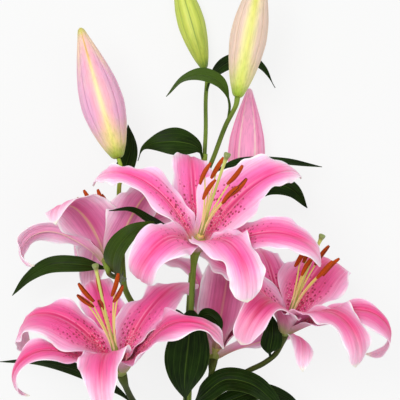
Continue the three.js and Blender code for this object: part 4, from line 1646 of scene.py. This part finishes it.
@dataclass(frozen=True)
class Stamens:
    """A bloom's throat, six stamens and pistil; lengths are along the bloom's axis."""

    plan: BloomPlan
    axes: BloomAxes
    seat: float = 16.3
    throat_height: float = 5.0
    throat_radius: float = 3.0
    ring: float = 1.2
    length: float = 67.0
    spread: float = 13.5
    foot: float = 1.05
    end: float = 0.55
    end_share: float = 0.4
    thread_rings: int = 14
    thread_sides: int = 10
    throat_sides: int = 24
    pistil_sides: int = 36
    anther_lean: float = 16.0
    anther_hold: float = 0.35
    turn: float = 0.37
    grain_step: float = 40.0
    pistil_length: float = 92.0
    sway: float = 7.0
    ribs: float = 0.07
    lobes: float = 0.2

    def _stamen(
        self, start: Vector, bearing: float, turn: float, anther: Piece, finish: Material
    ) -> list[Piece]:
        """Models one filament and puts an anther on its end.

        Args:
            start: Where all six meet in the throat.
            bearing: Where it stands round the axis.
            turn: The share of a whole turn by which its anther is turned.
            anther: The modelled anther.
            finish: The filament's.

        Returns:
            The filament and the anther.
        """
        plan, forward, outward = self.plan, self.axes.forward, self.axes.outward(bearing)
        thread = Line([
            start + forward * (self.length * plan.reach * share) + Vector(plan.drift) * share**2
            + outward * (self.ring + self.spread * plan.reach * share**1.7)
            for share in (0, 0.35, 0.7, 1)
        ])
        shares = steps(self.thread_rings)[:-1]
        rings = [(s, self.foot + (self.end - self.foot) * s**0.8) for s in shares]
        rings.append((1.0, self.end * self.end_share))
        filament = new_tube("filament", thread, rings, self.thread_sides, finish, seed=turn * self.grain_step)
        lean = radians(self.anther_lean)
        along = (thread.along(1) * cos(lean) + outward * sin(lean)).normalized()
        if plan.anther_way:
            along = (along * self.anther_hold + Vector(plan.anther_way)).normalized()
        away = (outward - along * outward.dot(along)).normalized()
        facing = Matrix((away, along.cross(away), along)).transposed().to_4x4()
        place = Matrix.Translation(to_scene(thread.at(1)))
        return [filament, copy_of(anther, place @ facing @ Matrix.Rotation(turn * tau, 4, "Z"))]

    def _pistil(self, start: Vector, finish: Material) -> Piece:
        """Models ovary, style and three-lobed stigma on one line.

        Args:
            start: Where it stands in the throat.
            finish: Its finish.

        Returns:
            The pistil.
        """
        plan, axes = self.plan, self.axes
        aside = axes.back * self.sway + Vector(plan.drift)
        line = Line([
            start + axes.forward * (self.pistil_length * plan.reach * share) + aside * share**2
            for share in (0, 0.3, 0.65, 1)
        ])

        def swell(angle: float, share: float) -> float:
            """Six ribs on the ovary and three lobes at the stigma."""
            ribs = self.ribs * cos(6 * angle) * (1 - rise(share, 0.17, 0.24))
            return 1 + ribs + self.lobes * cos(3 * angle) * rise(share, 0.93, 0.97)

        return new_tube("pistil", line, PISTIL_PROFILE, self.pistil_sides, finish, swell)

    def build(self, anther: Piece, finishes: Finishes) -> Piece:
        """Models a bloom's stamens and pistil.

        Args:
            anther: The modelled anther.
            finishes: Every finish.

        Returns:
            The joined piece.
        """
        foot = self.axes.base + self.axes.forward * self.seat
        top = foot + self.axes.forward * self.throat_height
        start = foot.lerp(top, 0.5)
        rings = [(s, self.throat_radius * share) for s, share in THROAT_PROFILE]
        throat = new_tube("throat", Line([foot, top]), rings, self.throat_sides, finishes.filament)
        pieces = [throat, self._pistil(start, finishes.pistil)]
        for index, tepal in enumerate(self.plan.tepals):
            turn = (index * self.turn) % 1.0
            pieces += self._stamen(start, tepal.bearing, turn, anther, finishes.filament)
        return join(f"{self.plan.name}_bloom_stamens", pieces)


@dataclass(frozen=True)
class Bloom:
    """One open bloom: receptacle, tepals, stamens and pistil."""

    plan: BloomPlan
    height: float = 16.0
    foot: float = 4.2
    belly: float = 6.2
    mouth: float = 3.6
    ribs: float = 0.04
    rings: int = 20
    sides: int = 36
    depth_change: float = 0.08

    def _radius(self, s: float) -> float:
        """The receptacle's radius: foot, belly and mouth, rounded into each other.

        Args:
            s: The share of its height.

        Returns:
            The radius in millimetres.
        """
        if s < 0.5:
            return self.foot + (self.belly - self.foot) * rise(s, -0.1, 0.5)
        return self.belly + (self.mouth - self.belly) * rise(s, 0.5, 1.1)

    def _receptacle(self, axes: BloomAxes, finish: Material) -> Piece:
        """Models the seat that the tepals grow from, with six soft ribs.

        Args:
            axes: The bloom's directions.
            finish: Its finish.

        Returns:
            The receptacle.
        """
        line = Line([axes.base, axes.base + axes.forward * self.height])
        rings = [(s, self._radius(s)) for s in steps(self.rings)]
        return new_tube(
            "receptacle", line, rings, self.sides, finish,
            lambda angle, share: 1 + self.ribs * cos(6 * angle),
        )

    def build(self, anther: Piece, finishes: Finishes, draw: random.Random) -> None:
        """Models and hands over the bloom.

        Args:
            anther: The modelled anther.
            finishes: Every finish.
            draw: The seeded random draw.
        """
        plan, axes = self.plan, BloomAxes.of(self.plan)
        pieces = [self._receptacle(axes, finishes.receptacle)]
        for tepal in plan.tepals:
            depth = plan.depth + tepal.blush + draw.uniform(-self.depth_change, self.depth_change)
            shaped = Tepal(tepal, axes, depth, seed=draw.uniform(0, TEPAL_GRAIN_REACH))
            pieces.append(shaped.build(finishes.petal_face, finishes.petal_back))
        hand_over(join(f"{plan.name}_bloom_tepals", pieces), f"bloom_{plan.name}_tepals", "tepals")
        stamens = Stamens(plan, axes).build(anther, finishes)
        hand_over(stamens, f"bloom_{plan.name}_stamens", "stamens")


@dataclass(frozen=True)
class Profile:
    """A smooth curve through pairs of a place and a height, in rising order of place."""

    pairs: Sequence[tuple[float, float]]

    def _rate(self, i: int) -> float:
        """The straight slope from one pair to the next."""
        (x0, y0), (x1, y1) = self.pairs[i], self.pairs[i + 1]
        return (y1 - y0) / (x1 - x0)

    def _slope(self, i: int) -> float:
        """The slope at a pair: flat where the height turns round.

        Args:
            i: Which pair.

        Returns:
            The slope.
        """
        if i in (0, len(self.pairs) - 1):
            return self._rate(max(0, i - 1))
        before, after = self._rate(i - 1), self._rate(i)
        return 2 * before * after / (before + after) if before * after > 0 else 0.0

    def at(self, place: float) -> float:
        """The height at a place, by cubic spans that don't overshoot.

        Args:
            place: Anywhere; past either end the end's height counts.

        Returns:
            The height.
        """
        places = [pair[0] for pair in self.pairs]
        place = min(places[-1], max(places[0], place))
        i = min(bisect_right(places, place), len(places) - 1) - 1
        (x0, y0), (x1, y1) = self.pairs[i], self.pairs[i + 1]
        width = x1 - x0
        share = (place - x0) / width
        near_share = 2 * share**3 - 3 * share**2 + 1
        leaving = (share**3 - 2 * share**2 + share) * (self._slope(i) * width)
        arriving = (share**3 - share**2) * (self._slope(i + 1) * width)
        return near_share * y0 + leaving + (1 - near_share) * y1 + arriving


# A bud's radius along it, as shares of its length and of its greatest radius, and where that is.
BUD_PROFILE = Profile((
    (0.0, 0.2), (0.008, 0.27), (0.04, 0.38), (0.1, 0.55), (0.2, 0.76), (0.3, 0.91), (0.42, 1.0),
    (0.55, 0.94), (0.65, 0.81), (0.75, 0.64), (0.85, 0.44), (0.93, 0.27), (0.97, 0.19), (0.99, 0.14),
    (1.0, 0.06),
))
BUD_WIDEST = 0.42


@dataclass(frozen=True)
class Bud:
    """A closed bud: three outer tepals with keels, and the edges between them.

    Round it, a place is 0 on a keel and 1 halfway between two.
    """

    plan: BudPlan
    rows: int = 76
    sides: int = 84
    lobe: float = 0.05
    keel: float = 0.022
    keel_width: float = 0.07
    furrow: float = 0.4
    furrow_at: float = 0.16
    furrow_width: float = 0.06
    seam: float = 0.03
    seam_at: float = 0.72
    seam_width: float = 0.04
    inner: float = 0.5
    inner_from: float = 0.76
    fullness: float = 1.02

    def _radius(self, s: float) -> float:
        """Narrow at the base, full in the middle, and narrowing to a small blunt end.

        Args:
            s: The share of its length.

        Returns:
            The radius in millimetres.
        """
        widest = self.plan.widest
        if s < widest:
            return self.plan.radius * BUD_PROFILE.at(BUD_WIDEST * s / widest)
        past = (s - widest) / (1 - widest)
        return self.plan.radius * BUD_PROFILE.at(BUD_WIDEST + (1 - BUD_WIDEST) * past)

    def _mark(self, angle: float, share: float) -> float:
        """The place round the bud, from 0 on a keel to 1 halfway between two."""
        third = (degrees(angle) % 120) / 60
        return min(third, 2 - third)

    def _swell(self, angle: float, share: float) -> float:
        """Three lobes, each with a keel between two fine furrows, and a seam beside it.

        Args:
            angle: Where round the bud.
            share: The share of its length.

        Returns:
            What multiplies the radius.
        """
        place = self._mark(angle, share)
        body = sqrt(sin(pi * min(1.0, share * self.fullness)))
        ridge = self.keel * bump(place, 0.0, self.keel_width) * body
        furrow = -self.furrow * self.keel * bump(place, self.furrow_at, self.furrow_width) * body
        seam = -self.seam * bump(place, self.seam_at, self.seam_width) * body
        inner = self.inner * self.keel * rise(place, self.inner_from, 1.0) * body
        return 1 + self.lobe * cos(3 * angle) + ridge + furrow + seam + inner

    def build(self, finishes: Finishes, seed: float) -> None:
        """Models and hands over the bud.

        Args:
            finishes: Every finish.
            seed: Moves its grain.
        """
        plan = self.plan
        rings = [(s, self._radius(s)) for s in steps(self.rows)]
        line = Line([Vector(plan.base), Vector(plan.tip)])
        finish = finishes.buds[plan.kind]
        bud = new_tube(f"{plan.name}_bud", line, rings, self.sides, finish, self._swell, self._mark, seed)
        lay_on_table(bud)
        hand_over(bud, f"bud_{plan.name}", plan.slot)


class Stalks:
    """The stem with its side shoot and every stalk, grown together as one piece."""

    LEAD = 7.0
    SEAT_GAP = 0.3
    FLARE_FROM = 0.86
    BUD_FLARE = 0.4
    BLOOM_FOOT = 4.2
    COLLAR = 0.5
    COLLAR_REACH = 0.03
    CUT_END = 1e-6
    BROAD_RIBS = 0.025
    FINE_RIBS = 0.012
    WAVER = 0.012
    WAVER_LENGTH = 9
    RINGS = 72
    SIDES = 24

    def __init__(
        self, plans: Sequence[StalkPlan], blooms: Sequence[BloomPlan], buds: Sequence[BudPlan]
    ) -> None:
        """Draws the centre line of each.

        Args:
            plans: The stem, the shoot and the stalks, each after the one that it leaves.
            blooms: The blooms that they carry.
            buds: The buds that they carry.
        """
        self.plans = plans
        self.bloom_names = {plan.name for plan in blooms}
        seats = {plan.name: (Vector(plan.base), Vector(plan.axis)) for plan in blooms}
        seats |= {plan.name: (Vector(plan.base), Vector(plan.tip) - Vector(plan.base)) for plan in buds}
        self.lines: dict[str, Line] = {}
        for plan in plans:
            points = [Vector(point) for point in plan.path]
            if plan.leaves:
                points[0] = self.lines[plan.leaves].nearest(points[0])
            carried = plan.carries or plan.name
            if carried in seats:
                base, way = seats[carried]
                axis = way.normalized()
                points += [base - axis * self.LEAD, base - axis * self.SEAT_GAP]
            self.lines[plan.name] = Line(points)

    def _radius(self, plan: StalkPlan, s: float) -> float:
        """A stalk's radius: a collar at its foot, and a flare under what it carries.

        Args:
            plan: The stalk.
            s: The share of its length.

        Returns:
            The radius in millimetres.
        """
        if plan.end is not None:
            return plan.foot + (plan.end - plan.foot) * s
        end = self.BLOOM_FOOT if plan.name in self.bloom_names else plan.foot + self.BUD_FLARE
        collar = self.COLLAR * bump(s, 0.0, self.COLLAR_REACH)
        return plan.foot + (end - plan.foot) * rise(s, self.FLARE_FROM, 1.0) + collar

    def _stalk(self, plan: StalkPlan, finish: Material, seed: float) -> Piece:
        """Models one stalk, with faint ribs and, on the stem, a pale cut end.

        Args:
            plan: The stalk.
            finish: Its finish.
            seed: Moves its grain.

        Returns:
            The stalk.
        """
        line = self.lines[plan.name]
        rings = [(s, self._radius(plan, s)) for s in steps(self.RINGS)]

        def swell(angle: float, share: float) -> float:
            """Soft ribs along the stalk."""
            ribs = self.BROAD_RIBS * cos(5 * angle + 6 * share) + self.FINE_RIBS * cos(9 * angle - 11 * share)
            return 1 + ribs + self.WAVER * sin(share * line.length / self.WAVER_LENGTH + seed)

        def mark(angle: float, share: float) -> float:
            """1 on the stem's cut end."""
            return 1.0 if plan.leaves is None and share < self.CUT_END else 0.0

        return new_tube("stalk", line, rings, self.SIDES, finish, swell, mark, seed)

    def build(self, finishes: Finishes, draw: random.Random) -> None:
        """Models and hands over the stem.

        Args:
            finishes: Every finish.
            draw: The seeded random draw.
        """
        pieces = [
            self._stalk(plan, finishes.stalks.get(plan.name, finishes.stem), draw.uniform(0, GRAIN_REACH))
            for plan in self.plans
        ]
        hand_over(join("stem_and_stalks", pieces), "stem", "stem")


@dataclass(frozen=True)
class Leaf:
    """One leaf: a folded, gently waved blade with parallel veins."""

    plan: LeafPlan
    seed: float
    rows: int = 60
    columns: int = 20
    root: float = 1.1
    root_thinning: float = 0.75
    fullness: float = 0.8
    wave: float = 1.2
    waves: float = 1.5
    wave_lag: float = 2.0
    rib: float = 0.12
    ribs: float = 3.5
    crease: float = 0.5
    crease_width: float = 0.12
    fine_from: float = 6.0
    tip_share: float = 0.996
    thickest: float = 1.1
    edge_share: float = 0.4

    def _half_width(self, t: float) -> float:
        """Half the width: a thin stalk, a broad blade and a long point.

        Args:
            t: The share of the length.

        Returns:
            The width in millimetres.
        """
        plan = self.plan
        start = rise(t, plan.stalk, plan.stalk + plan.opening) ** plan.onset
        past = max(0.0, (t - plan.stalk) / (1 - plan.stalk))
        share = start * sin(pi * min(past**self.fullness, self.tip_share)) ** plan.taper
        slim = self.root * (1 - self.root_thinning * rise(t, 0.5, 1.0))
        return max(slim, plan.width / 2 * share)

    def _lift(self, t: float, x: float, half: float) -> float:
        """How far the blade stands off its midrib's own plane.

        Args:
            t: The share of the length.
            x: The share across.
            half: Half the width there.

        Returns:
            The lift in millimetres.
        """
        lag = self.wave_lag * rise(x, -0.15, 0.15)
        wave = self.wave * sin(tau * self.waves * t + lag) * sin(pi * t) ** 2
        fine = min(1.0, half / self.fine_from)
        ribs = self.rib * cos(tau * self.ribs * x) * fine
        crease = self.crease * bump(x, 0.0, self.crease_width) * fine
        return self.plan.fold * half * abs(x) + wave * x * x + ribs - crease

    def build(self, stalks: Stalks, finishes: Finishes) -> None:
        """Models and hands over the leaf.

        Args:
            stalks: The lines that leaves grow from.
            finishes: Every finish.
        """
        plan = self.plan
        points = [Vector(point) for point in plan.path]
        points[0] = stalks.lines[plan.grows_on].nearest(points[0])
        midrib = Line(points)
        stations = [midrib.station(t, Vector(plan.face)) for t in steps(self.rows)]

        def skin(t: float, x: float) -> Skin:
            """One point of the leaf's middle sheet.

            Args:
                t: The share of the length.
                x: The share across.

            Returns:
                The point.
            """
            at, side, top = stations[round(t * self.rows)]
            half = self._half_width(t)
            place = pressed(at + side * (half * x) + top * self._lift(t, x, half))
            return Skin(place, (x, t, plan.young), (half * x, t * midrib.length, self.seed))

        faces = (finishes.leaf_top, finishes.leaf_underside)
        blade = new_sheet(f"{plan.name}_leaf", self.columns, self.rows, faces, skin)
        thicken(blade, self.thickest, lambda t, x: ribbed(t, x, self.edge_share))
        lay_on_table(blade)
        hand_over(blade, f"leaf_{plan.name}", "leaves")


@dataclass(frozen=True)
class SoftLight:
    """A broad lamp that looks at the lily's middle."""

    name: str
    place: Triple
    size: float
    power: float
    aim: Triple = (0, 0, 0.1)

    def build(self) -> None:
        """Hangs the lamp."""
        clear_selection()
        bpy.ops.object.light_add(type="AREA", location=self.place)
        lamp = bpy.context.active_object
        lamp.name = self.name
        lamp.data.size = self.size
        lamp.data.energy = self.power
        way = Vector(self.aim) - Vector(self.place)
        lamp.rotation_euler = way.to_track_quat("-Z", "Y").to_euler()


@dataclass(frozen=True)
class Studio:
    """The camera over the lily, the pale table and the soft light."""

    table_size: float = 8.0
    sky: float = 0.6
    lamps: tuple[SoftLight, ...] = (
        SoftLight("key_lamp", (-0.7, 0.6, 2.4), 1.3, 36.0),
        SoftLight("fill_lamp", (0.9, -0.3, 2.4), 1.8, 12.0),
    )

    def hang_camera(self) -> None:
        """Hangs the camera straight over the drawing's zero point."""
        clear_selection()
        place = DRAWING_ORIGIN * MILLIMETRE + Vector((0, 0, CAMERA_HEIGHT))
        bpy.ops.object.camera_add(location=place, rotation=(0, 0, 0))
        camera = bpy.context.active_object
        camera.name = "camera"
        camera.data.sensor_width = CAMERA_SENSOR
        camera.data.lens = CAMERA_LENS
        camera.data.clip_end = CAMERA_REACH
        bpy.context.scene.camera = camera

    def light(self) -> None:
        """Lays the table, hangs the lamps and brightens the room evenly."""
        clear_selection()
        bpy.ops.mesh.primitive_plane_add(size=self.table_size)
        table = bpy.context.active_object
        table.name = "table"
        table.data.materials.append(TableTop().material())
        for lamp in self.lamps:
            lamp.build()
        world = bpy.data.worlds.new("room")
        world.use_nodes = True
        background = world.node_tree.nodes["Background"]
        background.inputs["Color"].default_value = WHITE
        background.inputs["Strength"].default_value = self.sky
        bpy.context.scene.world = world
        bpy.context.scene.view_settings.view_transform = "Standard"


def main() -> None:
    """Builds the lily piece by piece."""
    logging.basicConfig(level=logging.INFO, format="%(message)s")
    studio = Studio()
    studio.hang_camera()
    draw = random.Random(SEED)
    finishes = Finishes()
    stalks = Stalks(STALK_PLANS, BLOOM_PLANS, BUD_PLANS)
    stalks.build(finishes, draw)
    anther = AntherForm().build(finishes.anther)
    for plan in BLOOM_PLANS:
        Bloom(plan).build(anther, finishes, draw)
    bpy.data.objects.remove(anther)
    for plan in BUD_PLANS:
        Bud(plan).build(finishes, draw.uniform(0, GRAIN_REACH))
    for plan in LEAF_PLANS:
        Leaf(plan, draw.uniform(0, GRAIN_REACH)).build(stalks, finishes)
    studio.light()


if __name__ == "__main__":
    main()
